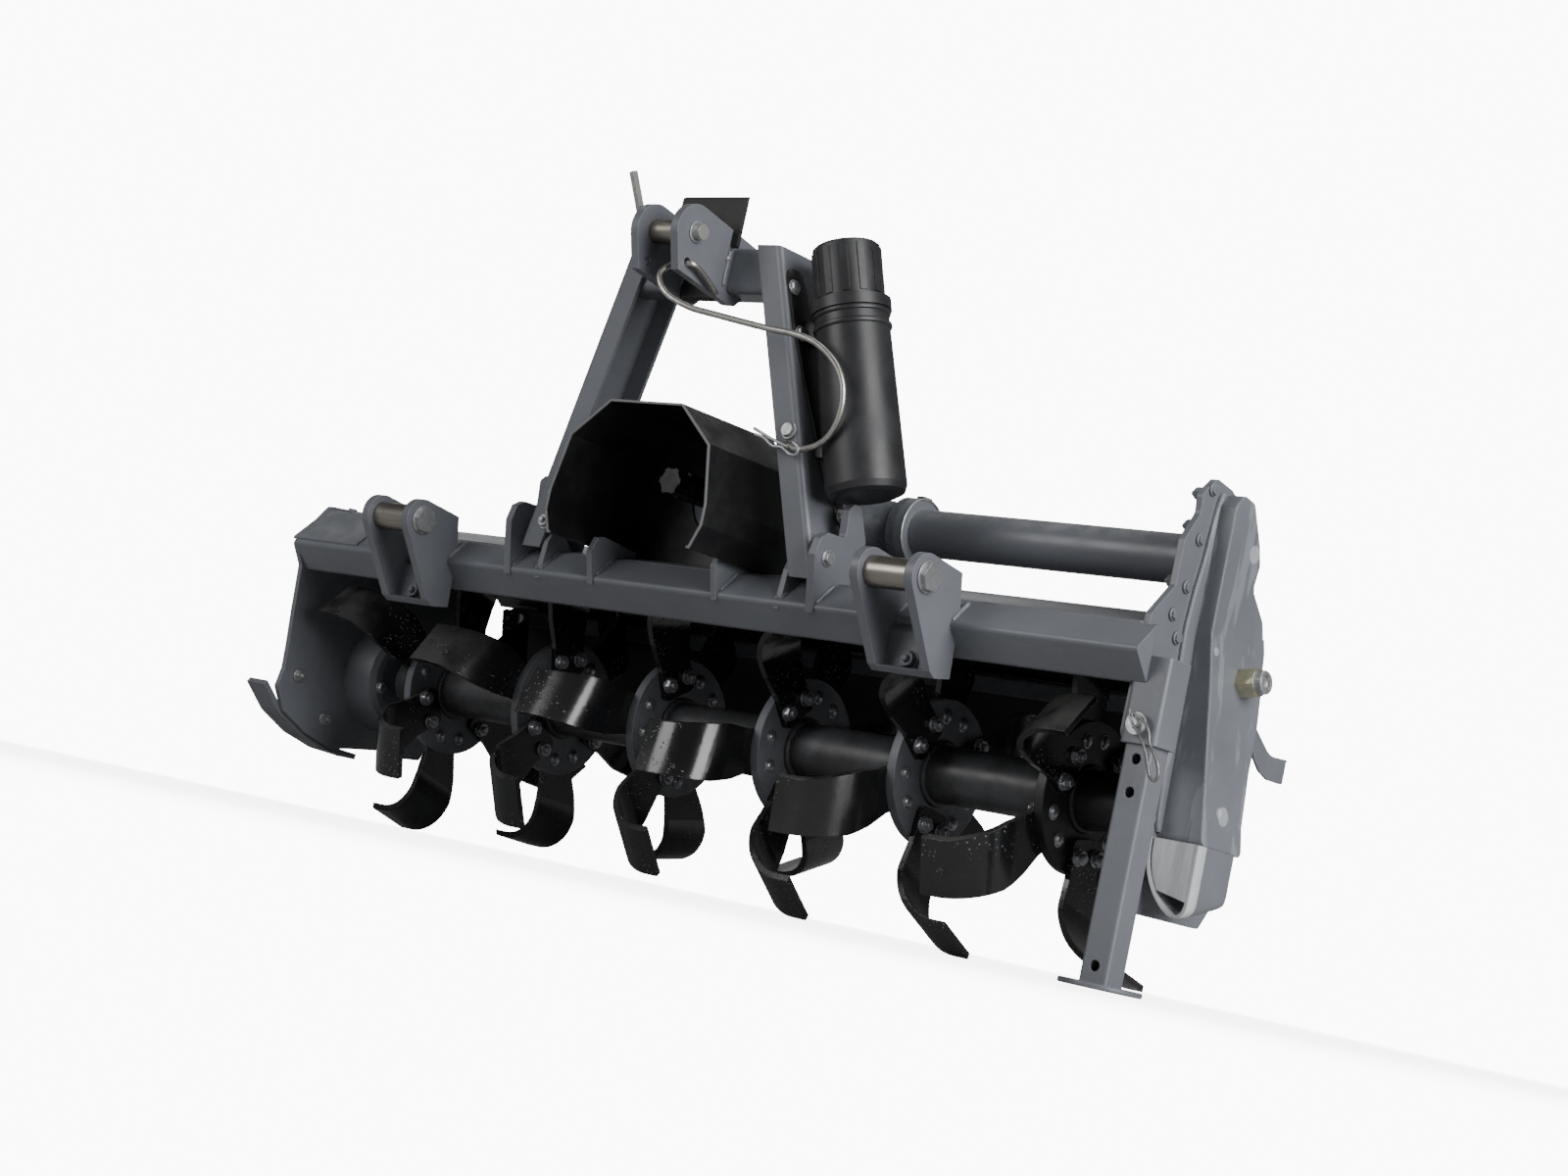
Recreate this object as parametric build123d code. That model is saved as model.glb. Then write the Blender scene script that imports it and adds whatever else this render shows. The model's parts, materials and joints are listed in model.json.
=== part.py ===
from build123d import *
import math
import os

# Rotary tiller for a compact tractor's three-point hitch. Lengths are in millimetres.
# X points to the gear-case side, Y rearward and Z up. The sizes below are laid out with x = 0 on the
# tractor's centre line, y = 0 on the lower link pins and z = 0 on the ground under the parked machine.
# At the end everything is moved so that the origin is the middle of the machine's footprint box.

# Hitch: lower link pins and the mast above them
pinHeight = 400.0
pinSpread = 825.0
linkGap = 65.0
linkPlate = 12.0
linkEyeRadius = 27.0
bushingRadius = 18.25
bushingPlay = 0.5
linkPinRadius = 11.0
pinPlay = 0.2
mastHeight = 381.0
topPinY = -40.0
topGap = 54.0
topPlate = 12.0
topEyeRadius = 34.0
topPinRadius = 9.5
topBushingRadius = 15.0
hookHoleRadius = 5.5
hookHoleBack = 5.0
hookHoleUnder = 39.0

# Square front beam, set on edge
beamSide = 50.0
beamWall = 5.0
beamCorner = 6.0
beamY = 91.0
beamZ = 359.0
beamPast = 28.0
beamCap = 4.0

# Machine width: inner faces of the two side plates
leftWall = -677.0
rightWall = 676.0
sidePlate = 8.0

# Mast posts: channels that lean outward and rearward on the way down
mastOverPin = 4.0
mastTop = pinHeight + mastHeight + mastOverPin
mastFoot = 392.0
postHalfTop = 122.3
postFrontTop = 20.4
postSplay = 0.315
postRake = 0.105
postDepth = 77.0
postFlange = 37.0
postWall = 5.0
postRound = 8.0
crossHeight = 58.0
crossDepth = 50.0
lugPlate = 11.0
innerLugInset = 49.0
gussetX = -100.0
gussetPlate = 8.0

# Rotor
rotorY = 278.0
rotorZ = 208.0
flangeCount = 6
flangeSpacing = 211.8
flangeRadius = 90.0
flangeThick = 12.0
tubeRadius = 35.0
tubeWall = 7.0
stubRadius = 20.0
stubBore = 6.0
rotorEndGap = 60.0
bearingPlay = 0.05
tineThick = 8.0
tineBladeRadius = 195.0
tineBend = 66.0
tineReach = 86.0
tineTilt = 20.0
tineRootRadius = 46.0
tineShankHalf = 27.0
tineFirstAngle = -26.0
tineStepAngle = 12.5

# Sheet metal over the rotor
hoodSheet = 4.0
boardSheet = 3.0
cornerY = 353.0
boardLeft = leftWall + 22.0
boardRight = rightWall - 64.0
hingeY = 478.0
hingeZ = 344.0
hingeRodRadius = 6.0
knuckleRadius = 10.0
hingePlay = 0.1

# Drive line on top
driveY = 245.0
driveZ = 491.0
driveTubeRadius = 29.0
driveTubeWall = 5.0
collarX = 235.0
collarThick = 12.0
collarRadius = 42.0
gearboxHalf = 72.0
gearboxDepth = 140.0
gearboxTop = 563.0
gearboxRound = 14.0
shaftRadius = 20.0
splineRadius = 17.45
splineRoot = 14.9
splineTooth = 8.6
splineCount = 6
shaftFront = 50.0
neckFront = 153.0
neckRadius = 46.0

# Power shaft shield
shieldSheet = 3.0
shieldFront = -21.0
shieldBack = 150.0

# Gear case on the right-hand side
caseFloor = 172.0
caseDeepX = 742.0
caseShallowX = 709.0
caseBendZ = 405.0
caseOver = 6.0
shoeSheet = 5.0
runnerSheet = 8.0

# Parking stand
standX = 706.5
standY = 110.0
sleeveSide = 45.0
sleeveWall = 4.2
sleeveUnder = 20.0
sleeveOver = 75.0
legPlay = 0.8
legWall = 3.0
legOver = 63.0
footRadius = 45.0
footThick = 6.0
lockHeight = 282.0
sleeveBottom = lockHeight - sleeveUnder
sleeveTop = lockHeight + sleeveOver
legTop = lockHeight + legOver
lockPitch = 36.0
lockRadius = 6.0
footHoleHeight = 24.0

# Manual canister beside the right-hand post
canTopX = 190.0
canTopY = 60.0
canOverMast = 10.0
canTopZ = mastTop + canOverMast
canFootX = 276.0
canFootY = 91.0
canDrop = 295.0
canFootZ = canTopZ - canDrop
canRadiusFoot = 49.0
canRadiusTop = 43.5
canWall = 3.0
capRadius = 40.5
capHeight = 62.0
capPlay = 0.3

# Left-hand skid
skidWidth = 38.0
skidSheet = 8.0

parts = {}


def prismX(sketch, x0, x1):
    # A sketch drawn in (y, z), given its thickness along X.
    return extrude(Plane.YZ.offset(x0) * sketch, x1 - x0, dir=(1, 0, 0))


def prismY(sketch, y0, y1):
    # A sketch drawn in (x, z), given its thickness along Y.
    return extrude(Plane.XZ.offset(-y0) * sketch, y1 - y0, dir=(0, 1, 0))


def outline(*points):
    return Polygon(*points, align=None)


def rodX(y, z, radius, x0, x1):
    return prismX(Pos(y, z) * Circle(radius), x0, x1)


def rodY(x, z, radius, y0, y1):
    return prismY(Pos(x, z) * Circle(radius), y0, y1)


def strip(points, thick, bend):
    # A bent sheet's cross-section: its middle line, rounded at every bend and given a thickness.
    line = FilletPolyline(*points, radius=bend)
    return make_face(offset(line, thick / 2, side=Side.BOTH))


def sweptSheet(points, thick, bend, x0, x1):
    line = Plane.YZ.offset(x0) * FilletPolyline(*points, radius=bend)
    start = line @ 0
    tangent = line % 0
    side = Vector(1, 0, 0)
    section = Plane(start, x_dir=side, z_dir=tangent) * Pos((x1 - x0) / 2, 0) * Rectangle(x1 - x0, thick)
    return sweep(section, line)


def group(pieces):
    # Pieces that share a node without touching each other.
    return Compound([solid for piece in pieces for solid in piece.solids()])


def eyePlate(eyeY, eyeZ, radius, points):
    # A plate's outline: the round eye and the corners, joined by tangents.
    eye = (Pos(eyeY, eyeZ) * Circle(radius)).edges()
    corners = Polyline(*points).edges()
    return make_hull(eye + corners)


# Front beam
beamOuter = Pos(beamY, beamZ) * Rot(0, 0, 45) * RectangleRounded(beamSide, beamSide, beamCorner)
beamInnerSide = beamSide - 2 * beamWall
beamInner = Pos(beamY, beamZ) * Rot(0, 0, 45) * Rectangle(beamInnerSide, beamInnerSide)
beamSolid = prismX(beamOuter, leftWall, rightWall)
beamTube = prismX(beamOuter - beamInner, leftWall, rightWall)
beamEnd = rightWall + beamPast
beamTail = prismX(beamOuter - beamInner, rightWall, beamEnd) + prismX(beamOuter, beamEnd - beamCap, beamEnd)
pastPlate = Pos((rightWall + beamEnd) / 2, 91 + 50, beamZ) * Box(beamPast + 1, 2 * (50 - 7), 120)
pastSleeve = Pos(beamEnd + 1, standY - sleeveSide / 2 + 40, beamZ) * Box(
    2 * (beamEnd + 1 - rightWall - sidePlate), 80, 120)
parts["front_beam"] = beamTube + (beamTail - pastPlate - pastSleeve)

# Side plates. The left one has a saddle over the end of the beam, and its foot follows the skid.
skidPoints = ((70, 160), (107, 127), (155, 104), (208, 91), (264, 88))
leftOutline = outline(
    (60, 358), (108, 421), (300, 439), (398, 421), (425, 396), (417, 365), (405, 250), (381, 104),
    (338, 100), (313, 106), (243, 97), skidPoints[3], skidPoints[2], skidPoints[1], (86, 158), (91, 185),
    (89, 217), (84, 268), (79, 330))
leftOutline = fillet(leftOutline.vertices(), 7)
leftPlate = prismX(leftOutline, leftWall - sidePlate, leftWall)
saddleEnd = leftWall + 125.0
saddleSheet = 5.0
saddleLine = strip(((beamY - 29.5, beamZ + 6.5), (beamY + 19, beamZ + 55), (beamY + 81, beamZ + 60)),
                   saddleSheet, 10)
saddle = prismX(saddleLine, leftWall - sidePlate, saddleEnd) - beamSolid
parts["left_side_plate"] = leftPlate
parts["left_saddle"] = saddle - prismX(leftOutline, leftWall - sidePlate, leftWall)

rightOutline = outline(
    (99, 300), (103, 405), (138, 443), (138, 495), (159, 529), (156, 551), (179, 573), (213, 568),
    (231, 560), (256, 520), (296, 472), (329, 442), (347, 401), (352, 347), (358, 310), (360, 250),
    (358, 190), (340, 120), (318, 88), (186, 88), (172, 140), (168, 262), (99, 268))
rightOutline = fillet(rightOutline.vertices(), 9)
rightPlate = prismX(rightOutline, rightWall, rightWall + sidePlate)
parts["right_side_plate"] = rightPlate

# Left-hand skid: a strip bent up at the front like a runner
leftSkid = sweptSheet(skidPoints, skidSheet, 40, leftWall - sidePlate - skidWidth, leftWall - sidePlate)
parts["left_skid"] = leftSkid

# Lower hitch brackets, one on each side: two plates on the beam, joined at the foot
linkHalf = linkGap / 2 + linkPlate
linkCorners = ((62, pinHeight + 19), (72, beamZ + 17), (78, 300), (50, 295), (40, 301))
linkSketch = eyePlate(0, pinHeight, linkEyeRadius, linkCorners)
linkSketch = linkSketch - Pos(0, pinHeight) * Circle(linkPinRadius + pinPlay)
for name, side in (("left", -1), ("right", 1)):
    middle = side * pinSpread / 2
    leftOne = prismX(linkSketch, middle - linkHalf, middle - linkGap / 2)
    rightOne = prismX(linkSketch, middle + linkGap / 2, middle + linkHalf)
    footWeb = prismX(outline((41, 301), (50, 295), (78, 300), (78, 309), (52, 304)),
                     middle - linkGap / 2, middle + linkGap / 2)
    seatWeb = prismX(outline((58, 316), (66, 316), (100, 352), (100, 359), (66, 359), (58, 345)),
                     middle - linkGap / 2, middle + linkGap / 2)
    seatWeb = seatWeb + prismX(outline((58, 303), (66, 305), (66, 330), (58, 330)),
                               middle - linkGap / 2, middle + linkGap / 2)
    bracket = (leftOne + rightOne + footWeb + seatWeb) - beamSolid
    parts["hitch_bracket_" + name] = bracket

# Link pins with their loose bushings, shared by both brackets
pins = []
bushings = []
for side in (-1, 1):
    middle = side * pinSpread / 2
    headOut = linkHalf + 9.0
    shank = rodX(0, pinHeight, linkPinRadius, middle - linkHalf - 14, middle + linkHalf)
    head = prismX(Pos(0, pinHeight) * RegularPolygon(17, 6), middle + linkHalf, middle + headOut)
    nut = prismX(Pos(0, pinHeight) * RegularPolygon(17, 6), middle - headOut, middle - linkHalf)
    pins.append(shank + head + nut)
    sleeve = Pos(0, pinHeight) * (Circle(bushingRadius) - Circle(linkPinRadius + pinPlay))
    bushings.append(prismX(sleeve, middle - linkGap / 2 + bushingPlay, middle + linkGap / 2 - bushingPlay))
parts["link_pins"] = group(pins)
parts["link_bushings"] = group(bushings)


# Hood over the rotor: one sheet bent twice, from the beam to the rear hinge
hoodPoints = ((98, 392.5), (300, 434), (400, 414), (hingeY - 4, hingeZ + knuckleRadius + 4))
hoodSketch = strip(hoodPoints, hoodSheet, 45)
hood = prismX(hoodSketch, leftWall, rightWall) - beamSolid
hoodCut = Polyline((rightWall + 1, cornerY - 2), (boardRight + 1, hingeY - 2), (boardRight + 1, hingeY + 20),
                   (rightWall + 1, hingeY + 20), close=True)
hood = hood - extrude(Plane.XY.offset(300) * make_face(hoodCut), 200)
skirtPlan = Polyline((rightWall, cornerY), (boardRight, hingeY - 3), (boardRight - hoodSheet, hingeY - 3),
                     (rightWall - hoodSheet, cornerY - 1), close=True)
skirt = extrude(Plane.XY.offset(300) * make_face(skirtPlan), 200)
skirtSide = outline((cornerY - 3, 424.5), (400, 415), (hingeY - 4, hingeZ + 14), (hingeY - 4, hingeZ - 12),
                    (400, 388), (cornerY - 3, 398))
hood = hood + (skirt & prismX(skirtSide, boardRight - 10, rightWall))
lip = strip(((hingeY - 4, hingeZ + 14), (hingeY - 18, hingeZ + 8), (hingeY - 21, hingeZ - 12)), boardSheet, 4)
hood = hood + prismX(lip, boardLeft + 15, boardRight)
hood = hood - parts["left_saddle"]
hoodRise = (hoodPoints[1][1] - hoodPoints[0][1]) / (hoodPoints[1][0] - hoodPoints[0][0])
hoodCover = hoodSheet / 2 * math.hypot(1, hoodRise)


def hoodTopAt(y):
    # Height of the hood's upper face over its front slope.
    return hoodPoints[0][1] + hoodRise * (y - hoodPoints[0][0]) + hoodCover


underHood = prismX(outline((hoodPoints[0][0] - 3, hoodPoints[0][1] - 40), (hoodPoints[0][0] - 3, hoodTopAt(hoodPoints[0][0] - 3)),
                           (hoodPoints[1][0], hoodTopAt(hoodPoints[1][0])), (400, 416.1), (400, 340)), -300, 300)
onFrame = underHood + beamSolid

def postEdge(z):
    # Half width of the mast over the outer faces of its posts at height z.
    return postHalfTop + postSplay * (mastTop - z)


def postFront(z):
    return postFrontTop + postRake * (mastTop - z)


# Mast posts: a channel open towards the middle, sheared along its lean
channel = Pos(-postFlange / 2, postDepth / 2) * Rectangle(postFlange, postDepth)
channel = fillet(channel.vertices().group_by(Axis.X)[-1], postRound)
hollow = Pos(-postFlange / 2 - postWall, postDepth / 2) * Rectangle(postFlange, postDepth - 2 * postWall)
channel = channel - fillet(hollow.vertices().group_by(Axis.X)[-1], postRound - postWall)
drop = mastTop - mastFoot
lean = Vector(postSplay * drop, postRake * drop, -drop)
topPlane = Plane.XY.offset(mastTop)
rightPost = extrude(topPlane * Pos(postHalfTop, postFrontTop) * channel, lean.length, dir=lean)
rightPost = rightPost - onFrame
leftPost = mirror(rightPost, about=Plane.YZ)
parts["mast_post_right"] = rightPost
parts["mast_post_left"] = leftPost

# Crossbar: a square tube between the webs of the posts, with its ends cut to their lean
crossBottom = mastTop - crossHeight
innerTop = postEdge(mastTop) - postWall
innerBottom = postEdge(crossBottom) - postWall
crossFront = postFront(crossBottom) + postWall + 0.5
crossBack = crossFront + crossDepth
trapezoid = outline((-innerTop, mastTop), (innerTop, mastTop), (innerBottom, crossBottom), (-innerBottom, crossBottom))
crossSection = Pos((crossFront + crossBack) / 2, mastTop - crossHeight / 2) * RectangleRounded(
    crossDepth, crossHeight, postRound)
crossBore = Pos((crossFront + crossBack) / 2, mastTop - crossHeight / 2) * Rectangle(
    crossDepth - 2 * postWall, crossHeight - 2 * postWall)
crossOuter = prismX(crossSection, -innerBottom, innerBottom)
crossbar = prismX(crossSection - crossBore, -innerBottom, innerBottom) & prismY(trapezoid, crossFront - 5, crossBack + 5)
parts["mast_crossbar"] = crossbar

# Top link plates: notched over the crossbar, each with the pin hole and a small hole for the hook rod
topPinZ = pinHeight + mastHeight
hookHoleY = topPinY - hookHoleBack
hookHoleZ = topPinZ - hookHoleUnder
topCorners = ((54, mastTop + 13), (92, mastTop + 6), (92, mastTop - 30), (54, mastTop - 69), (43, mastTop - 71),
              (-57, mastTop - 56))
topSketch = eyePlate(topPinY, topPinZ, topEyeRadius, topCorners)
topSketch = topSketch - Pos(topPinY, topPinZ) * Circle(topPinRadius + pinPlay)
topSketch = topSketch - Pos(hookHoleY, hookHoleZ) * Circle(hookHoleRadius)
topPlates = []
for side in (-1, 1):
    near = topGap / 2
    far = near + topPlate
    low, high = sorted((side * near, side * far))
    topPlates.append(prismX(topSketch, low, high) - crossOuter)
parts["top_link_plates"] = group(topPlates)

# Top link pin with its round knob and pull bar, and the bushing on it
topHalf = topGap / 2 + topPlate
pinShank = rodX(topPinY, topPinZ, topPinRadius, -topHalf - 16, topHalf + 12)
pinKnob = rodX(topPinY, topPinZ, 19, -topHalf - 16, -topHalf - 2)
pinKnob = fillet(pinKnob.edges().filter_by(GeomType.CIRCLE), 4)
pullLength = 76.0
pullLean = 33.0
pullBar = Pos(-topHalf - 9, topPinY, topPinZ) * Rot(pullLean, 0, 0) * Pos(0, 0, pullLength / 2) * Box(7, 8, pullLength)
parts["top_link_pin"] = pinShank + pinKnob + pullBar
topSleeve = Pos(topPinY, topPinZ) * (Circle(topBushingRadius) - Circle(topPinRadius + pinPlay))
parts["top_link_bushing"] = prismX(topSleeve, -topGap / 2 + bushingPlay, topGap / 2 - bushingPlay)

# Black plate that stands between the top link plates, with a wider head above them
plateGap = topGap / 2
headFoot = mastTop + 27
headTop = mastTop + 63
stemFoot = mastTop - 71
backPlate = outline((-plateGap, stemFoot), (plateGap, stemFoot), (plateGap, headFoot), (60, headFoot), (60, headTop),
                    (-60, headTop), (-60, headFoot), (-plateGap, headFoot))
backPlate = fillet(backPlate.vertices(), 4)
parts["mast_back_plate"] = prismY(backPlate, crossFront - 9, crossFront - 4)

# Feet of the mast on the beam: an outer lug with a tall rear ear, an inner lug, and a small gusset
lugSketch = outline((58, 352), (41, 419), (46, 440), (58, 448), (90, 448), (86, 482), (94, 491), (108, 489),
                    (128, 452), (121, 392), (104, 372))
lugSketch = fillet(lugSketch.vertices().sort_by(Axis.Y)[-9:], 5)
innerLug = outline((60, 352), (64, 400), (69, 414), (92, 414), (112, 392), (104, 372))
smallGusset = outline((58, 352), (44, 392), (52, 411), (64, 414), (126, 408), (121, 372))
feet = []
for side in (-1, 1):
    lugIn = postEdge(mastFoot - 6)
    innerLugX = postEdge(mastFoot) - innerLugInset
    low, high = sorted((side * lugIn, side * (lugIn + lugPlate)))
    feet.append(prismX(lugSketch, low, high) - onFrame - (rightPost if side > 0 else leftPost))
    low, high = sorted((side * innerLugX, side * (innerLugX + gussetPlate)))
    feet.append(prismX(innerLug, low, high) - onFrame)
    low, high = sorted((side * gussetX, side * (gussetX - gussetPlate)))
    feet.append(prismX(smallGusset, low, high) - onFrame)
parts["mast_feet"] = group(feet)

# Rear hinge: a rod through knuckles that belong in turn to the hood and to the tailboard
knuckleWidth = 42.0
knuckleGap = 1.0
hingeStations = (boardLeft + 20.0, -knuckleWidth / 2, boardRight - 20.0 - 2 * knuckleWidth - knuckleGap)
knuckleRing = Pos(hingeY, hingeZ) * (Circle(knuckleRadius) - Circle(hingeRodRadius + hingePlay))
hoodLug = outline((hingeY - 8, hingeZ + 4), (hingeY - 13, hingeZ + knuckleRadius + 14),
                  (hingeY - 2, hingeZ + knuckleRadius + 8), (hingeY + 3, hingeZ + 7))
hoodLug = hoodLug - Pos(hingeY, hingeZ) * Circle(hingeRodRadius + hingePlay)
boardPoints = ((hingeY + 5, hingeZ - 8), (hingeY + 45, hingeZ - 33), (hingeY + 86, hingeZ - 31))
boardBend = 40.0
boardFlange = 27.0
for station in hingeStations:
    hood = hood + prismX(knuckleRing, station, station + knuckleWidth)
    hood = hood + prismX(hoodLug, station, station + knuckleWidth)
parts["hood"] = hood
parts["hinge_rod"] = rodX(hingeY, hingeZ, hingeRodRadius, hingeStations[0] - 10,
                          hingeStations[2] + 2 * knuckleWidth + knuckleGap + 10)

# Tailboard: a sheet flared up at the back, with an end plate below it on each side
boardSketch = strip(boardPoints, boardSheet, boardBend)
board = prismX(boardSketch, boardLeft, boardRight)
endTop = ((hingeY + 4, hingeZ - 9), (hingeY + 22, hingeZ - 20), (hingeY + 45, hingeZ - 31), (hingeY + 63, hingeZ - 33),
          (hingeY + 86, hingeZ - 31))
endSketch = fillet(outline(*endTop, (hingeY + 86, hingeZ - 33 - boardFlange), (hingeY + 50, hingeZ - 33 - boardFlange),
                           (hingeY + 28, hingeZ - 26 - boardFlange), (hingeY + 10, hingeZ - 13 - boardFlange),
                           (hingeY + 2, hingeZ - 28), (hingeY - 2, hingeZ - 15)).vertices(), 4)
board = board + prismX(endSketch, boardLeft, boardLeft + boardSheet)
board = board + prismX(endSketch, boardRight - boardSheet, boardRight)
boardLug = outline((hingeY - 3, hingeZ - 8), (hingeY + 3, hingeZ - 12), (hingeY + 12, hingeZ - 18),
                   (hingeY + 9, hingeZ - 5))
boardLug = boardLug - Pos(hingeY, hingeZ) * Circle(hingeRodRadius + hingePlay)
for station in hingeStations:
    start = station + knuckleWidth + knuckleGap
    board = board + prismX(knuckleRing, start, start + knuckleWidth)
    board = board + prismX(boardLug, start, start + knuckleWidth)
    hoodSide = prismX(Pos(hingeY, hingeZ) * Circle(knuckleRadius + 1.5), station - 1, station + knuckleWidth + 1)
    board = board - hoodSide
parts["tailboard"] = board

# Rotor: tube with flanges, turned down to a stub at each end
tubeEnd = rightWall - rotorEndGap
rotorHalf = tubeEnd
stubLeft = leftWall + 12.0
stubRight = rightWall - 1.0
rotor = rodX(rotorY, rotorZ, tubeRadius, -rotorHalf, rotorHalf)
rotor = rotor - rodX(rotorY, rotorZ, tubeRadius - tubeWall, -rotorHalf + 25, rotorHalf - 25)
rotor = rotor + rodX(rotorY, rotorZ, stubRadius, stubLeft, -rotorHalf) + rodX(
    rotorY, rotorZ, stubRadius, rotorHalf, stubRight)
rotor = rotor - rodX(rotorY, rotorZ, stubBore, stubLeft - 1, stubRight + 1)
flangeStations = [flangeSpacing * (index - (flangeCount - 1) / 2) for index in range(flangeCount)]
for station in flangeStations:
    disc = Pos(rotorY, rotorZ) * (Circle(flangeRadius) - Circle(tubeRadius - 1))
    rotor = rotor + prismX(disc, station - flangeThick / 2, station + flangeThick / 2)
parts["rotor_shaft"] = rotor

# One tine, drawn with Z along its shank and Y across it, bent towards +X
bendStart = tineBladeRadius - tineBend
faceX = flangeThick / 2
innerBend = tineBend - tineThick
bendCentre = (faceX + tineBend, bendStart)
outerArc = CenterArc(bendCentre, tineBend, 90, 90)
innerArc = CenterArc(bendCentre, innerBend, 90, 90)
tipX = faceX + tineReach
profileLines = [
    Line((faceX, 10), (faceX, bendStart)),
    outerArc,
    Line((bendCentre[0], tineBladeRadius), (tipX, tineBladeRadius)),
    Line((tipX, tineBladeRadius), (tipX, tineBladeRadius - tineThick)),
    Line((tipX, tineBladeRadius - tineThick), (bendCentre[0], tineBladeRadius - tineThick)),
    innerArc,
    Line((faceX + tineThick, bendStart), (faceX + tineThick, 10)),
    Line((faceX + tineThick, 10), (faceX, 10)),
]
tineProfile = Plane.XZ * make_face(profileLines)
tilt = math.radians(tineTilt)
tineRun = Vector(0, -math.cos(tilt), math.sin(tilt))
tineBand = extrude(Pos(tineRun * -60) * tineProfile, 120, dir=tineRun)
tineSide = outline((-tineShankHalf, tineRootRadius), (tineShankHalf, tineRootRadius),
                   (tineShankHalf, 92), (34, 128), (33, 160), (27, 215), (-29, 225), (-36, 160),
                   (-34, 125), (-tineShankHalf, 92))
tineSide = fillet(tineSide.vertices(), 8)
tine = tineBand & prismX(tineSide, 0, tipX + 1)
tineLeft = mirror(tine, about=Plane.YZ)
for index, station in enumerate(flangeStations):
    tines = []
    for turn in range(3):
        leftAngle = tineFirstAngle + tineStepAngle * index + 120 * turn
        for blade, angle in ((tineLeft, leftAngle), (tine, leftAngle + 60)):
            tines.append(Pos(station, rotorY, rotorZ) * Rot(angle + 90, 0, 0) * blade)
    parts["tines_" + str(index + 1)] = group(tines)

# Left bearing housing: a cast cone around the stub
coneBase = 77.0
coneTip = 65.0
coneDepth = 50.0
coneWall = 6.0
coneEnd = leftWall + coneDepth
cone = Polyline((leftWall, coneBase), (coneEnd - 8, coneTip + 2), (coneEnd - 2, coneTip - 6), (coneEnd, coneTip - 14),
                (coneEnd, stubRadius + bearingPlay), (leftWall, stubRadius + bearingPlay),
                (leftWall, stubRadius + 14), (coneEnd - coneWall - 4, stubRadius + 14),
                (coneEnd - coneWall - 4, coneTip - 14), (leftWall, coneBase - coneWall), close=True)
coneFace = make_face(cone)
coneSolid = revolve(coneFace, Axis.X, 360)
parts["left_bearing"] = Pos(0, rotorY, rotorZ) * coneSolid
hubRight = Pos(rotorY, rotorZ) * (Circle(62) - Circle(stubRadius + bearingPlay))
parts["right_bearing"] = prismX(hubRight, rightWall - 34, rightWall)

# Gearbox on the hood, with its input neck and the tapered housing towards the drive tube
gearboxBack = driveY + gearboxDepth / 2
gearboxFront = driveY - gearboxDepth / 2
boxFace = Pos(0, driveY) * RectangleRounded(2 * gearboxHalf, gearboxDepth, gearboxRound)
gearbox = extrude(Plane.XY.offset(395) * boxFace, gearboxTop - 395)
gearbox = chamfer(gearbox.faces().sort_by(Axis.Z)[-1].edges(), 8)
sightLid = Pos(0, driveY, gearboxTop + 3) * Box(96, 92, 6)
neck = rodY(0, driveZ, neckRadius, neckFront, gearboxFront + 2)
neckFlange = rodY(0, driveZ, neckRadius + 14, gearboxFront - 10, gearboxFront + 2)
trumpetLine = Polyline((gearboxHalf - 2, 0), (gearboxHalf - 2, 62), (gearboxHalf + 14, 62), (gearboxHalf + 26, 46),
                       (collarX - 20, 34), (collarX - 12, collarRadius), (collarX, collarRadius), (collarX, 0),
                       close=True)
trumpet = Pos(0, driveY, driveZ) * revolve(make_face(trumpetLine), Axis.X, 360)
leftCap = rodX(driveY, driveZ, 56, -gearboxHalf - 10, -gearboxHalf + 2)
gearbox = gearbox + sightLid + neck + neckFlange + trumpet + leftCap
gearbox = gearbox - underHood
shaftHole = rodY(0, driveZ, shaftRadius + bearingPlay, neckFront - 1, gearboxFront + 60)
parts["gearbox"] = gearbox - shaftHole

# Splined input shaft
shaftBody = rodY(0, driveZ, shaftRadius, neckFront - 12, gearboxFront + 50)
splinePart = rodY(0, driveZ, splineRadius, shaftFront, neckFront - 12)
grooveWidth = 2 * math.pi * splineRadius / splineCount - splineTooth
for index in range(splineCount):
    groove = Pos(0, shaftFront + 38, 0) * Box(grooveWidth, 76, 2 * (splineRadius - splineRoot))
    groove = Pos(0, 0, driveZ) * Rot(0, 360 / splineCount * index, 0) * Pos(0, 0, splineRadius) * groove
    splinePart = splinePart - groove
splineGroove = rodY(0, driveZ, splineRadius + 1, shaftFront + 18, shaftFront + 25) - rodY(
    0, driveZ, splineRoot, shaftFront + 18, shaftFront + 25)
parts["input_shaft"] = shaftBody + (splinePart - splineGroove)

# Drive tube from the collar to the gear case, with its flange
tubeRing = Pos(driveY, driveZ) * (Circle(driveTubeRadius) - Circle(driveTubeRadius - driveTubeWall))
driveTube = prismX(tubeRing, collarX, rightWall)
tubeFlange = Pos(driveY, driveZ) * (Circle(collarRadius) - Circle(driveTubeRadius - driveTubeWall))
flangeNub = Pos(driveY, driveZ + collarRadius - 4) * Rectangle(16, 12)
driveTube = driveTube + prismX(tubeFlange + flangeNub, collarX, collarX + collarThick)
parts["drive_tube"] = driveTube

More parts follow.
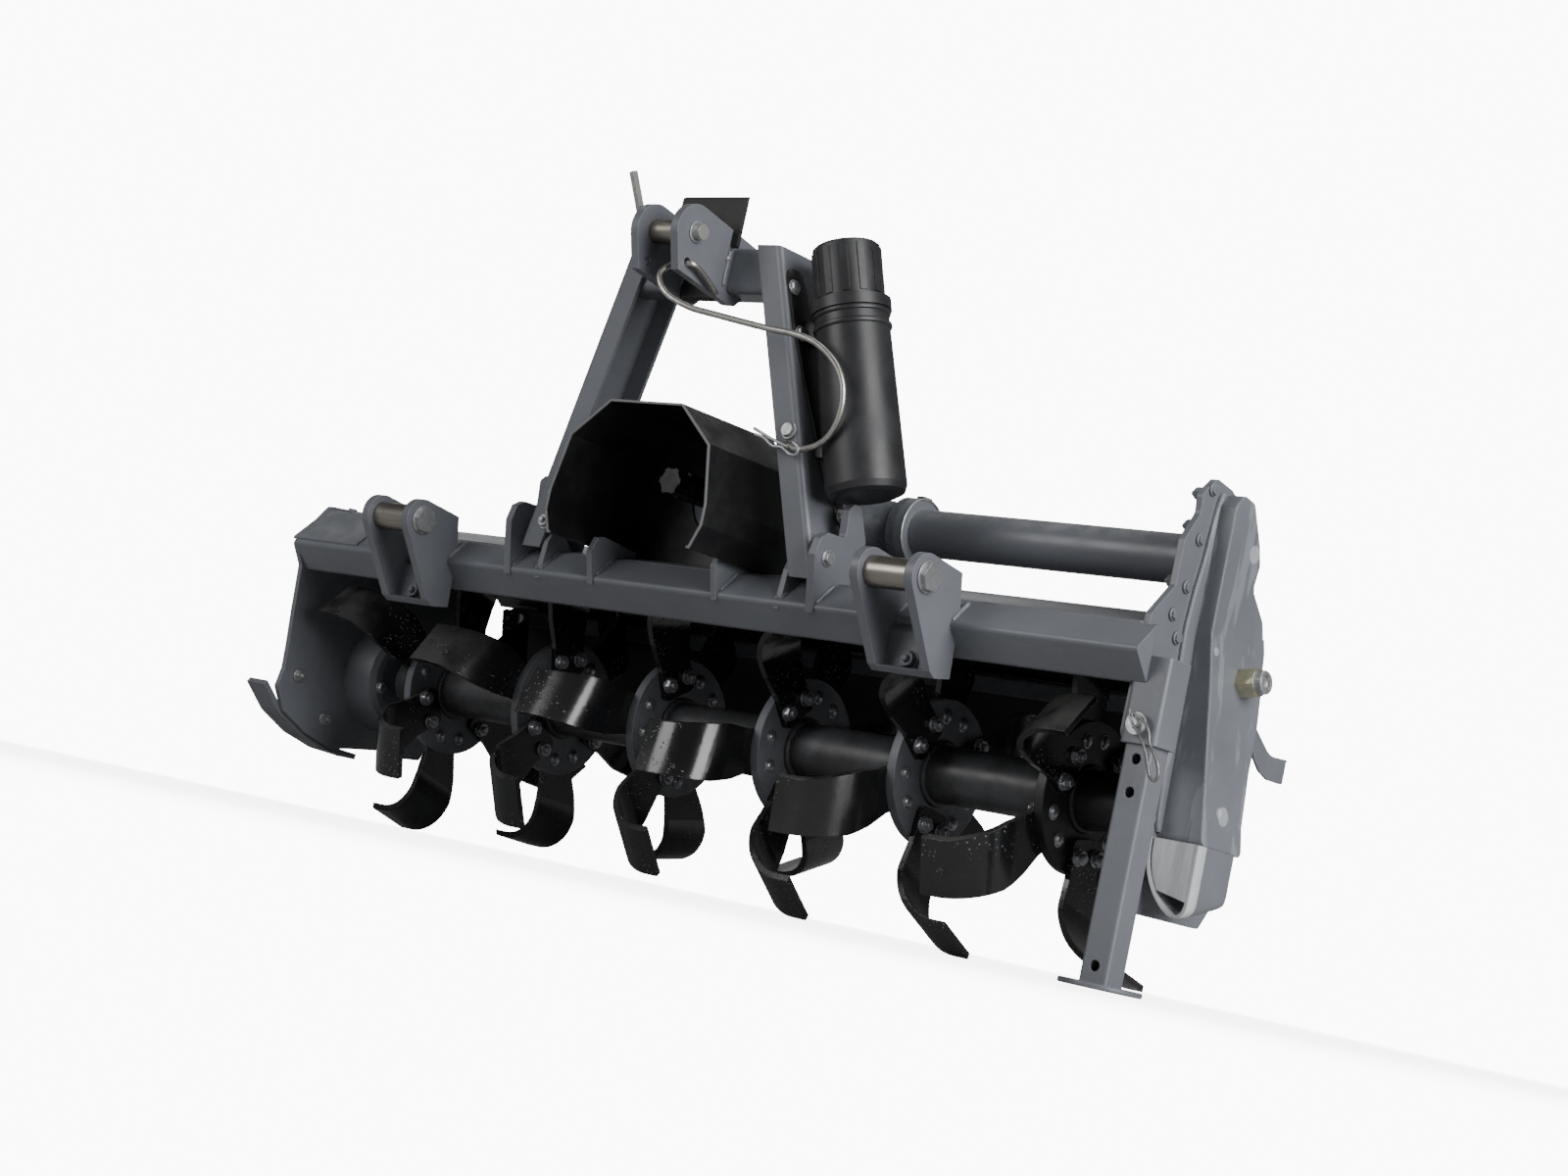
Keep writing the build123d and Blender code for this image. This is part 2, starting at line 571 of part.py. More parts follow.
# Shield over the power shaft: a folded sheet open at the front and underneath
shieldLine = outline((-60, 573), (60, 573), (116, 526), (131, 454), (131, 428), (119, 399), (-119, 399),
                     (-131, 428), (-131, 454), (-116, 526))
shieldOuter = fillet(shieldLine.vertices().sort_by(Axis.Y)[-8:], 5)
shieldInner = offset(shieldOuter, -shieldSheet)
mouth = Pos(0, 399) * Rectangle(2 * (119 - shieldSheet) - 4, 20)
shieldWall = prismY(shieldOuter - shieldInner - mouth, shieldFront, shieldBack)
shieldRear = prismY(shieldOuter - Pos(0, driveZ) * Circle(neckRadius + 1), shieldBack, shieldBack + shieldSheet)
parts["pto_shield"] = (shieldWall + shieldRear) - onFrame

# Gear case: the outline seen from the side, cut to the wedge seen from the front
caseSide = outline(
    (188, 545), (200, 561), (224, 557), (251, 514), (259, 494), (255, 470), (277, 403), (301, 356),
    (297, 313), (286, 267), (278, caseFloor + 32), (281, caseFloor), (197, caseFloor), (192, 350), (188, 400))
caseSide = fillet(caseSide.vertices(), 8)
caseFront = outline((rightWall + sidePlate, caseFloor), (caseDeepX, caseFloor), (caseShallowX, caseBendZ),
                    (caseShallowX, 575), (rightWall + sidePlate, 575))
gearCase = prismX(caseSide, rightWall + sidePlate, caseDeepX + 1) & prismY(caseFront, 150, 350)
parts["gear_case"] = gearCase

# Shoe under the gear case: a front sheet that bends round into an outer cheek, an inner cheek cut back like a
# runner, and a floor between them that is open at the front
shoeInner = rightWall + sidePlate
shoeOuter = caseDeepX + caseOver
shoeTop = caseFloor + 1.0
frontLine = outline((181, shoeTop), (181 + shoeSheet, shoeTop), (191 + shoeSheet, 112), (191, 112))
frontSheet = prismX(frontLine, shoeInner, shoeOuter)
shoeRoof = prismX(outline((181, caseFloor - shoeSheet), (181, caseFloor), (262, caseFloor), (262, caseFloor - shoeSheet)),
                  shoeInner, shoeOuter)
cheek = prismX(outline((181, shoeTop), (262, shoeTop), (260, 128), (251, 115), (207, 101), (191, 112)),
               shoeOuter - shoeSheet, shoeOuter)
runnerLine = outline((181, shoeTop), (200, 145), (225, 119), (264, 93), (318, 90), (318, caseFloor), (181, caseFloor))
runnerCheek = prismX(runnerLine, shoeInner, shoeInner + runnerSheet)
floorPlan = Polyline((shoeInner, 262), (shoeOuter, 207), (shoeOuter, 256), (shoeInner + 8, 312), (shoeInner, 312),
                     close=True)
floorSlope = Polyline((shoeInner, 93), (shoeOuter, 107), (shoeOuter, 107 + shoeSheet), (shoeInner, 93 + shoeSheet),
                      close=True)
shoeFloor = extrude(Plane.XY.offset(80) * make_face(floorPlan), 60)
shoeFloor = shoeFloor & prismY(make_face(floorSlope), 150, 350)
parts["right_shoe"] = (frontSheet + cheek + runnerCheek + shoeFloor + shoeRoof) - gearCase

# Parking stand
sleeveOuter = Pos(standX, standY) * RectangleRounded(sleeveSide, sleeveSide, 6)
legSide = sleeveSide - 2 * sleeveWall - 2 * legPlay
sleeveInner = Pos(standX, standY) * RectangleRounded(sleeveSide - 2 * sleeveWall, sleeveSide - 2 * sleeveWall, 3)
sleeve = extrude(Plane.XY.offset(sleeveBottom) * (sleeveOuter - sleeveInner), sleeveTop - sleeveBottom)
sleeve = sleeve - rodY(standX, lockHeight, lockRadius, standY - 40, standY + 40)
parts["stand_sleeve"] = sleeve
legOuter = Pos(standX, standY) * RectangleRounded(legSide, legSide, 4)
legInner = Pos(standX, standY) * Rectangle(legSide - 2 * legWall, legSide - 2 * legWall)
leg = extrude(Plane.XY.offset(footThick) * (legOuter - legInner), legTop - footThick)
for height in (lockHeight + lockPitch, lockHeight, lockHeight - lockPitch, lockHeight - 2 * lockPitch,
               footHoleHeight):
    leg = leg - rodY(standX, height, lockRadius, standY - 40, standY + 40)
foot = Pos(standX, standY, footThick / 2) * Cylinder(footRadius, footThick)
foot = fillet(foot.edges().filter_by(GeomType.CIRCLE), 2)
parts["stand_leg"] = leg + foot
pinReach = sleeveSide / 2 - sleeveWall
frontPin = rodY(standX, lockHeight, lockRadius - 0.3, standY - sleeveSide / 2 - 16, standY - pinReach)
frontPin = frontPin + rodY(standX, lockHeight, 9, standY - sleeveSide / 2 - 6, standY - sleeveSide / 2)
rearPin = rodY(standX, lockHeight, lockRadius - 0.3, standY + pinReach, standY + sleeveSide / 2 + 9)
parts["stand_pin"] = group([frontPin, rearPin])

# Manual canister with its screw cap, on a bracket beside the right-hand post
canTop = Vector(canTopX, canTopY, canTopZ)
canFoot = Vector(canFootX, canFootY, canFootZ)
canLength = (canTop - canFoot).length
canPlane = Plane(canFoot, x_dir=(0, 1, 0), z_dir=(canTop - canFoot).normalized())
neckTop = canLength - 12
shoulder = canLength - capHeight - 22
canProfile = Polyline((0, 0), (canRadiusFoot - 10, 0), (canRadiusFoot - 3, 3), (canRadiusFoot, 11),
                      (canRadiusTop + 1, shoulder), (canRadiusTop + 5, shoulder), (canRadiusTop + 5, shoulder + 14),
                      (capRadius - 5, shoulder + 16), (capRadius - 5, neckTop), (capRadius - 5 - canWall, neckTop),
                      (capRadius - 5 - canWall, shoulder + 10), (canRadiusTop - canWall, shoulder - 6),
                      (canRadiusFoot - canWall, 12), (canRadiusFoot - 8, canWall), (0, canWall), close=True)
canister = revolve(Plane.XZ * make_face(canProfile), Axis.Z, 360)
capBottom = shoulder + 16.5
capProfile = Polyline((0, canLength), (capRadius - 3, canLength), (capRadius, canLength - 3), (capRadius, capBottom),
                      (capRadius - 5 + capPlay, capBottom), (capRadius - 5 + capPlay, canLength - 4),
                      (0, canLength - 4), close=True)
cap = revolve(Plane.XZ * make_face(capProfile), Axis.Z, 360)
ribCount = 12
ribWidth = 9.0
for index in range(ribCount):
    rib = Pos(capRadius, 0, (capBottom + canLength) / 2 - 2) * Box(2.8, ribWidth, canLength - capBottom - 8)
    cap = cap + Rot(0, 0, 360 / ribCount * index) * rib
parts["canister_body"] = canPlane.location * canister
parts["canister_cap"] = canPlane.location * cap

# Canister bracket: a black strip on the post's web with two bands around the canister
bracketPlate = []
bandWidth = 26.0
bandPlay = 0.1
for height in (44, 188):
    centre = canFoot + (canTop - canFoot).normalized() * height
    radius = canRadiusFoot - (canRadiusFoot - canRadiusTop - 1) * (height - bandWidth / 2 - 11) / (shoulder - 11)
    webX = postEdge(centre.Z)
    band = Plane(centre, x_dir=(0, 1, 0), z_dir=(canTop - canFoot).normalized()).location * (
        Cylinder(radius + 3.2, bandWidth) - Cylinder(radius + bandPlay, bandWidth + 4))
    arm = Pos((webX + centre.X) / 2, centre.Y, centre.Z) * Box(centre.X - webX, 34, 22)
    arm = arm - (Plane(centre, x_dir=(0, 1, 0), z_dir=(canTop - canFoot).normalized()).location * Cylinder(
        radius + bandPlay, 60))
    bracketPlate.append(band + arm)
parts["canister_bracket"] = group([one - rightPost for one in bracketPlate])

# Hook rod that carries the tractor's power shaft when it is off: hooked into the right top link plate
hookRadius = 4.0
hookEndZ = hookHoleZ - 197
hookRoute = [(47, 4, hookHoleZ - 18), (47, hookHoleY, hookHoleZ), (18, hookHoleY, hookHoleZ),
             (16, hookHoleY - 17, hookHoleZ - 20), (32, hookHoleY - 17, hookHoleZ - 45),
             (68, hookHoleY - 5, hookHoleZ - 59), (121, -30, hookHoleZ - 64), (165, -12, hookHoleZ - 72),
             (203, -1, hookHoleZ - 72), (236, 9, hookHoleZ - 88), (259, 18, hookHoleZ - 113),
             (267, 22, hookHoleZ - 141), (260, 27, hookHoleZ - 169), (238, 32, hookHoleZ - 192),
             (205, 38, hookHoleZ - 201), (182, postFront(hookEndZ) - hookRadius - 0.2, hookEndZ)]
hookBends = [6, 6, 8, 11, 20, 40, 60, 40, 36, 36, 30, 30, 26, 24]
hookLine = FilletPolyline(*hookRoute, radius=hookBends)
hookStart = hookLine @ 0
hookSection = Plane(hookStart, z_dir=hookLine % 0) * Circle(hookRadius)
parts["hook_rod"] = sweep(hookSection, hookLine)

# Origin: the middle of the footprint box, on the ground
everything = group(parts.values())
box = everything.bounding_box()
centreX = (box.min.X + box.max.X) / 2
centreY = (box.min.Y + box.max.Y) / 2
print("origin shift", round(-centreX, 3), round(-centreY, 3), round(-box.min.Z, 3))
os.makedirs("parts", exist_ok=True)
for name, shape in parts.items():
    export_step(Pos(-centreX, -centreY, -box.min.Z) * shape, "parts/" + name + ".step")
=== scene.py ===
# Dress of a rotary tiller: paint, hardware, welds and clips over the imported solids.
import json
import math

import bmesh
import bpy
import numpy as np
from mathutils import Matrix, Vector


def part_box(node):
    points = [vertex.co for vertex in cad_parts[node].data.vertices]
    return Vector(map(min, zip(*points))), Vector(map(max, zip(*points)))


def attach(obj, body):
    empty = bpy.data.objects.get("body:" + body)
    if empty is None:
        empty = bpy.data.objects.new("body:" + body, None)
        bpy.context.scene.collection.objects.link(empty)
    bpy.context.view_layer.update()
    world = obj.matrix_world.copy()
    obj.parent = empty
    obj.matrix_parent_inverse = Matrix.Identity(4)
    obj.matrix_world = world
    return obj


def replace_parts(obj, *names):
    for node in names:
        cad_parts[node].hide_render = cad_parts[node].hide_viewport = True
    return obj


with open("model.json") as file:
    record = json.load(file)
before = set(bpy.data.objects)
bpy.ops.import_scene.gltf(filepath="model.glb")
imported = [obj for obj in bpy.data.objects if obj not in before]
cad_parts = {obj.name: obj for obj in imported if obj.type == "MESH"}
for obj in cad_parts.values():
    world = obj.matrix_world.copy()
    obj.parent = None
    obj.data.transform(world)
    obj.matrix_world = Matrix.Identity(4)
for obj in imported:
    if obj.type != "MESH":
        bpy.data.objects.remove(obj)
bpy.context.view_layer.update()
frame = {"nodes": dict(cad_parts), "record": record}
mounts = {m["name"]: Vector(m["pos_m"]) for m in frame["record"]["mounts"]}
hitch = (mounts["lower_link_left"] + mounts["lower_link_right"]) / 2
mm = 0.001
pinHeight = 400  # millimetres of the lower link pins over the workshop's own zero
print("solids loaded:", len(frame["nodes"]))


def at(*places):
    # Workshop places in millimetres: x and y from the middle of the lower link pins, and z with
    # the pin height at those pins.
    spots = np.array(places, float).reshape(-1, 3) - (0, 0, pinHeight)
    return np.array(hitch) + spots * mm


def surfaceAt(grid):
    # The same for a grid of places, which keeps its rows and columns.
    return at(grid).reshape(np.shape(grid))


# Camera, floor and light
view = {"azimuth": 43.6, "elevation": -6.358, "roll": 12.5, "distance": 3.4349, "lens": 65.03,
        "shift": (0.1, -0.0286), "sensor": 36, "reach": 200}
studio = {"floor": 60.0, "floorShade": 0.42, "backdrop": 11.0, "ambient": 0.12,
          "fadeFrom": 0.9, "fadeTo": 2.4, "fill": 0.45, "nearGlow": 0.55,
          "sky": (0.97, 0.972, 0.975), "aim": (0, 0, 0.4),
          "lamps": (("sideLamp", (4.6, -0.9, 1.9), 3.2, 370),
                    ("frontLamp", (-1.8, -4.4, 2.0), 2.4, 110),
                    ("topLamp", (0.6, 0.4, 3.6), 2.6, 30),
                    ("backLamp", (-3.0, 2.8, 2.0), 2.2, 12))}


def makeCamera():
    # Turned round the middle of the lower link pins, just above the floor, then rolled about its
    # own line of sight.
    a, e, r = (math.radians(view[k]) for k in ("azimuth", "elevation", "roll"))
    back = Vector((math.sin(a) * math.cos(e), -math.cos(a) * math.cos(e), math.sin(e)))
    right = Vector((math.cos(a), math.sin(a), 0))
    up = back.cross(right)
    side = right * math.cos(r) + up * math.sin(r)
    top = up * math.cos(r) - right * math.sin(r)
    place = hitch + back * view["distance"]
    data = bpy.data.cameras.new("camera")
    data.lens, data.sensor_width, data.clip_end = view["lens"], view["sensor"], view["reach"]
    data.shift_x, data.shift_y = view["shift"]
    camera = bpy.data.objects.new("camera", data)
    bpy.context.scene.collection.objects.link(camera)
    rows = [(side[i], top[i], back[i], place[i]) for i in range(3)]
    camera.matrix_world = Matrix(rows + [(0, 0, 0, 1)])
    bpy.context.scene.camera = camera


def makeLamp(name, place, size, power):
    # A square soft lamp that faces the middle of the machine.
    data = bpy.data.lights.new(name, "AREA")
    data.shape, data.size, data.energy = "SQUARE", size, power
    lamp = bpy.data.objects.new(name, data)
    lamp.location = place
    toMachine = Vector(studio["aim"]) - lamp.location
    lamp.rotation_euler = toMachine.to_track_quat("-Z", "Y").to_euler()
    bpy.context.scene.collection.objects.link(lamp)


class Value:
    # A number, colour or vector inside a material. Sums on it add the Math nodes that work them
    # out.
    def __init__(self, maker, socket):
        self.maker, self.socket = maker, socket

    def math(self, operation, *others):
        return self.maker.add("Math", {"operation": operation}, (self, *others))

    def __add__(self, other):
        return self.math("ADD", other)

    __radd__ = __add__

    def __sub__(self, other):
        return self.math("SUBTRACT", other)

    def __rsub__(self, other):
        return self.maker.add("Math", {"operation": "SUBTRACT"}, (other, self))

    def __mul__(self, other):
        return self.math("MULTIPLY", other)

    __rmul__ = __mul__

    def between(self, low, high):
        # 0 below low, 1 above high, and a smooth ramp between them.
        return self.maker.add("MapRange", {"interpolation_type": "SMOOTHSTEP"},
                              (self, low, high, 0.0, 1.0))


class Finish:
    # One material under construction.
    def __init__(self, name):
        self.material = bpy.data.materials.new(name)
        self.material.use_nodes = True
        self.tree = self.material.node_tree
        self.shader = self.tree.nodes["Principled BSDF"]
        self.place = self.add("TexCoord", out="Object")

    def add(self, kind, settings=None, inputs=(), out=0):
        # A node of the kind, its settings first, then its sockets in order or by name.
        node = self.tree.nodes.new("ShaderNode" + kind)
        for key, value in (settings or {}).items():
            setattr(node, key, value)
        pairs = inputs.items() if isinstance(inputs, dict) else enumerate(inputs)
        for key, value in pairs:
            self.feed(node.inputs[key], value)
        return Value(self, node.outputs[out])

    def feed(self, socket, value):
        # Links a value to the socket, or sets the socket where it is a plain number or colour.
        if isinstance(value, Value):
            self.tree.links.new(value.socket, socket)
        elif isinstance(value, (tuple, list)) and socket.type == "RGBA":
            socket.default_value = (*value, 1)
        else:
            socket.default_value = value

    def mix(self, share, low, high):
        # Colour low where share is 0 and colour high where it is 1.
        node = self.tree.nodes.new("ShaderNodeMix")
        node.data_type = "RGBA"
        colourSockets = {0: share, 6: low, 7: high}
        for index, value in colourSockets.items():
            self.feed(node.inputs[index], value)
        return Value(self, node.outputs[2])

    def noise(self, scale, detail=2.0, rough=0.5, stretch=None):
        # Cloudy noise from 0 to 1, drawn out along an axis where its stretch is small.
        place = self.place
        if stretch:
            place = self.add("VectorMath", {"operation": "MULTIPLY"}, (place, stretch))
        return self.add("TexNoise", None, {"Vector": place, "Scale": scale, "Detail": detail,
                                           "Roughness": rough})

    def cells(self, scale):
        # Distance from the middle of the nearest cell.
        return self.add("TexVoronoi", None, {"Vector": self.place, "Scale": scale})

    def axis(self, index, vector=None):
        # One of the three numbers of a vector.
        return self.add("SeparateXYZ", None, (vector or self.place,), out=index)

    def facing(self):
        # 1 where the surface looks up, 0 on a wall and -1 underneath.
        return self.axis(2, self.add("NewGeometry", out="Normal"))

    def distance(self, place):
        # How far the surface is from a workshop place, in metres.
        return self.add("VectorMath", {"operation": "DISTANCE"},
                        (self.place, tuple(at(place)[0])), out="Value")

    def shade(self):
        # The colour that the surface has so far.
        return Value(self, self.shader.inputs["Base Color"].links[0].from_socket)

    def edges(self, radius):
        # Normals that turn round the sharp edges, as a coat of paint does.
        return self.add("Bevel", {"samples": 4}, {"Radius": radius})

    def bump(self, height, depth, strength, normal):
        return self.add("Bump", None, {"Height": height, "Distance": depth,
                                       "Strength": strength, "Normal": normal})

    def set(self, **sockets):
        names = {"color": "Base Color", "roughness": "Roughness", "metallic": "Metallic",
                 "normal": "Normal", "coat": "Coat Weight", "coatRoughness": "Coat Roughness",
                 "specular": "Specular IOR Level"}
        for key, value in sockets.items():
            self.feed(self.shader.inputs[names[key]], value)


# Slate-grey satin enamel of the frame. Edge is how far paint rounds a corner. A paler colour is
# mixed in along the corners, partly paint rubbed thin and partly a painted highlight: how much of
# it shows and its colour are given here, and worn is the turn of the normal at which it starts and
# stops. The colour mixed onto faces that look down is painted shade.
slate = {"colour": (0.128, 0.136, 0.154), "dull": (0.102, 0.108, 0.122),
         "dust": (0.30, 0.30, 0.29), "under": (0.006, 0.006, 0.0055),
         "roughness": 0.34, "cloud": 3.2, "mottle": 38, "scuff": 90, "scuffed": 0.25,
         "peel": 260, "peelDepth": 0.00012, "edge": 0.0016, "edgeLight": 0.55,
         "edgeLightColour": (0.25, 0.26, 0.285), "worn": (0.84, 0.985)}


def makeSlate(name, dusty=0.0, paintedShadeUnder=False, edge=slate["edge"]):
    # Enamel with a soft orange peel, cloudy gloss, a thin veil of dust where it lies, and paler
    # edges, partly rubbed thin and partly a painted highlight. Where asked, faces that look down
    # get painted shade.
    paint = Finish(name)
    cloud = paint.noise(slate["cloud"], 4, 0.6)
    mottle = paint.noise(slate["mottle"], 3, 0.6)
    colour = paint.mix(cloud.between(0.35, 0.7), slate["dull"], slate["colour"])
    scratches = paint.noise(slate["scuff"], 2, 0.7, (0.3, 1.0, 1.0))
    scuff = scratches.between(0.62, 0.78) * cloud.between(0.45, 0.75)
    colour = paint.mix(scuff * slate["scuffed"], colour, slate["dust"])
    if dusty:
        veil = paint.facing().between(0.2, 0.9) * mottle.between(0.3, 0.75) * dusty
        colour = paint.mix(veil, colour, slate["dust"])
    # Painted shade: faces that look down are mixed towards near black.
    if paintedShadeUnder:
        colour = paint.mix(1 - paint.facing().between(-0.55, -0.1), colour, slate["under"])
    # Paler along the corners: partly paint rubbed thin, partly a painted highlight along the edge.
    rolled = paint.edges(edge)
    turn = paint.add("VectorMath", {"operation": "DOT_PRODUCT"},
                     (rolled, paint.add("NewGeometry", out="Normal")), out="Value")
    colour = paint.mix((1 - turn.between(*slate["worn"])) * slate["edgeLight"], colour,
                       slate["edgeLightColour"])
    peel = paint.noise(slate["peel"], 2, 0.5)
    rough = (slate["roughness"] + 0.16 * cloud.between(0.3, 0.8)
             + 0.10 * mottle.between(0.4, 0.8) + 0.2 * scuff)
    paint.set(color=colour, roughness=rough, specular=0.5,
              normal=paint.bump(peel, slate["peelDepth"], 0.5, rolled))
    return paint


# Glossy black enamel of the tines, wet in places
gloss = {"colour": (0.0060, 0.0064, 0.0072), "worn": (0.026, 0.024, 0.022),
         "dust": (0.095, 0.094, 0.090), "wet": (0.16, 0.165, 0.175), "roughness": 0.17,
         "drop": 160, "dropDepth": 0.0012, "patch": 9, "haze": 5.5, "dustAndSheenGrain": 16,
         "ripple": 30, "rippleDepth": 0.0006, "edge": 0.0016, "coat": 0.15}


def makeGloss():
    # Thick black dip paint with runs, a haze of dust, small drops that stand on it in patches, and
    # paler tops that are partly dust and partly a painted sheen.
    paint = Finish("tine_gloss")
    patch = paint.noise(gloss["patch"], 3, 0.6).between(0.50, 0.60)
    haze = paint.noise(gloss["haze"], 4, 0.65).between(0.40, 0.75)
    grain = paint.noise(gloss["dustAndSheenGrain"], 4, 0.6).between(0.25, 0.6)
    # Paler on faces that look up: partly dust, partly a painted sheen where these tops reflect
    # light.
    dust = paint.facing().between(0.15, 0.9) * grain
    drop = (1 - paint.cells(gloss["drop"]).between(0.14, 0.30)) * patch
    ripple = paint.noise(gloss["ripple"], 2, 0.5)
    colour = paint.mix(haze * 0.3, gloss["colour"], gloss["worn"])
    colour = paint.mix(dust * 0.6, colour, gloss["dust"])
    colour = paint.mix(drop * 0.6, colour, gloss["wet"])
    rough = gloss["roughness"] + 0.14 * haze + 0.25 * dust - 0.08 * drop
    runs = paint.bump(ripple, gloss["rippleDepth"], 0.3, paint.edges(gloss["edge"]))
    paint.set(color=colour, roughness=rough, coat=gloss["coat"], coatRoughness=0.1, specular=0.5,
              normal=paint.bump(drop, gloss["dropDepth"], 0.9, runs))
    return paint


def makePlain(name, colour, other, roughness, metallic=0.0, grain=60, stretch=None, depth=0.0001,
              edge=0.0008, spread=0.15):
    # A finish of two shades mixed in a grain, which also varies its gloss and stands up slightly.
    paint = Finish(name)
    cloud = paint.noise(grain, 4, 0.6, stretch)
    fine = paint.noise(grain * 9, 2, 0.5, stretch)
    share = cloud.between(0.3, 0.7)
    rough = roughness + spread * cloud.between(0.35, 0.8)
    paint.set(color=paint.mix(share, colour, other), roughness=rough, metallic=metallic,
              normal=paint.bump(fine, depth, 0.5, paint.edges(edge)))
    return paint


finishes = {
    "slate": makeSlate("frame_slate"),
    "slateDusty": makeSlate("frame_slate_dusty", dusty=0.35),
    # The hood gets painted shade on its faces that look down.
    "hood": makeSlate("hood_slate_shaded_under", dusty=0.08, paintedShadeUnder=True),
    "weld": makeSlate("weld_slate", edge=0.0004),
    "gloss": makeGloss(),
    "black": makePlain("black_enamel", (0.006, 0.006, 0.0065), (0.011, 0.011, 0.012), 0.36,
                       grain=25),
    "plastic": makePlain("canister_plastic", (0.0095, 0.0098, 0.0112), (0.015, 0.0155, 0.0175),
                         0.40, grain=18, depth=0.00016, spread=0.12),
    "zinc": makePlain("bright_zinc", (0.44, 0.45, 0.46), (0.28, 0.285, 0.29), 0.34,
                      metallic=0.8, grain=120),
    "rivet": makePlain("bolt_head_grey", (0.34, 0.35, 0.37), (0.22, 0.225, 0.24), 0.27,
                       metallic=0.75, grain=90),
    "wire": makePlain("clip_wire", (0.26, 0.26, 0.26), (0.15, 0.15, 0.15), 0.30,
                      metallic=0.9, grain=90),
    "yellowZinc": makePlain("yellow_zinc", (0.55, 0.52, 0.34), (0.42, 0.43, 0.33), 0.30,
                            metallic=0.9, grain=150),
    "bushing": makePlain("dull_steel", (0.36, 0.33, 0.29), (0.20, 0.185, 0.165), 0.30,
                         metallic=1.0, grain=70, stretch=(0.06, 1, 1)),
    "rod": makePlain("hook_wire", (0.50, 0.49, 0.46), (0.34, 0.33, 0.31), 0.30,
                     metallic=1.0, grain=90),
    "castIron": makePlain("gearbox_cast", (0.085, 0.092, 0.106), (0.060, 0.065, 0.076), 0.48,
                          grain=90, depth=0.0006),
    "spline": makePlain("greased_spline", (0.014, 0.013, 0.011), (0.006, 0.006, 0.005), 0.45,
                        metallic=0.2, grain=60),
    # Near black and rough: painted shade on the rear liner, and the black back plate wears it too.
    "shadeLiner": makePlain("shade_liner_black", (0.0045, 0.0045, 0.0045), (0.010, 0.0098, 0.009), 0.55,
                       grain=14),
}
print("finishes made:", len(finishes))

# Rotor: where its flanges stand, how its tines are clocked, and the bolts and welds on them
rotor = {"centre": (278, 208), "first": -529.5, "spacing": 211.8, "flanges": 6, "face": 6,
         "tine": 8, "angle": -26.0, "step": 12.5, "boltCircle": 69, "spread": 15.0,
         "weldOut": 1.5, "weldRing": 36.5, "weldRadius": 3.6}
rotorPaint = {"blackFrom": 520.5, "tube": (0.0405, 0.0425), "film": (0.06, 0.062, 0.064),
              "tubePaintedShade": (0.022, 0.0215, 0.020), "black": (0.012, 0.012, 0.013)}


def makeShaftFinish():
    # The rotor is slate like the frame, with a darker tube whose dark is painted shade between the
    # flanges, mottled by a dust film, and its last flange and stub on the drive side are black.
    paint = makeSlate("rotor_slate")
    grey = paint.shade()
    lastFlange = at(rotorPaint["blackFrom"], 0, 0)[0][0]
    black = paint.axis(0).between(lastFlange - 0.03, lastFlange)
    centre = at(0, *rotor["centre"])[0]
    y, z = paint.axis(1) - float(centre[1]), paint.axis(2) - float(centre[2])
    tube = 1 - (y * y + z * z).math("SQRT").between(*rotorPaint["tube"])
    film = paint.noise(14, 4, 0.6).between(0.4, 0.7)
    colour = paint.mix(film * 0.35, grey, rotorPaint["film"])
    # The tube mixed towards a darker colour: painted shade, mottled by the dust film.
    colour = paint.mix(tube * (0.6 + 0.3 * film), colour, rotorPaint["tubePaintedShade"])
    paint.set(color=paint.mix(black, colour, rotorPaint["black"]))
    return paint


topPinPaint = {"knob": (-46, -40, 781), "knobEdge": (0.0235, 0.0245),
               "black": (0.012, 0.012, 0.013), "metallic": 0.8}


def makeTopPinFinish():
    # The pull bar and shank are zinc and the round knob around the shank is black.
    paint = makePlain("top_pin_zinc", (0.50, 0.50, 0.48), (0.36, 0.36, 0.34), 0.34, grain=80,
                      metallic=topPinPaint["metallic"])
    black = 1 - paint.distance(topPinPaint["knob"]).between(*topPinPaint["knobEdge"])
    paint.set(color=paint.mix(black, paint.shade(), topPinPaint["black"]),
              metallic=topPinPaint["metallic"] * (1 - black))
    return paint


shieldPaint = {"rim": -20.2, "cut": 0.0012, "dust": (0.085, 0.085, 0.083),
               "bare": (0.15, 0.155, 0.16)}


def makeShieldFinish():
    # Folded black sheet whose cut front edge is grey, partly paint rubbed off and partly a painted
    # highlight, with dust on its upper faces.
    paint = makePlain("shield_black", (0.0035, 0.0035, 0.004), (0.006, 0.006, 0.0065), 0.34,
                      grain=22)
    rim = at(0, shieldPaint["rim"], 0)[0][1]
    # Grey along the cut front edge: partly rubbed paint, partly a painted highlight.
    cut = 1 - paint.axis(1).between(rim, rim + shieldPaint["cut"])
    veil = paint.facing().between(0.3, 0.95) * paint.noise(30, 4, 0.6).between(0.3, 0.7) * 0.5
    dusty = paint.mix(veil, paint.shade(), shieldPaint["dust"])
    paint.set(color=paint.mix(cut * 0.8, dusty, shieldPaint["bare"]))
    return paint


# Gear case: each pale spot is a place and a radius in millimetres
casePaint = {"edge": 0.0045, "paleSpots": (((709, 243, 504), 9), ((738, 238, 211), 9),
                                       ((738, 228, 214), 4), ((716, 196, 415), 3),
                                       ((714, 199, 386), 4)),
             "ragged": 0.006, "blend": 0.002, "run": (0.34, 0.36, 0.39),
             "bare": (0.42, 0.44, 0.47)}


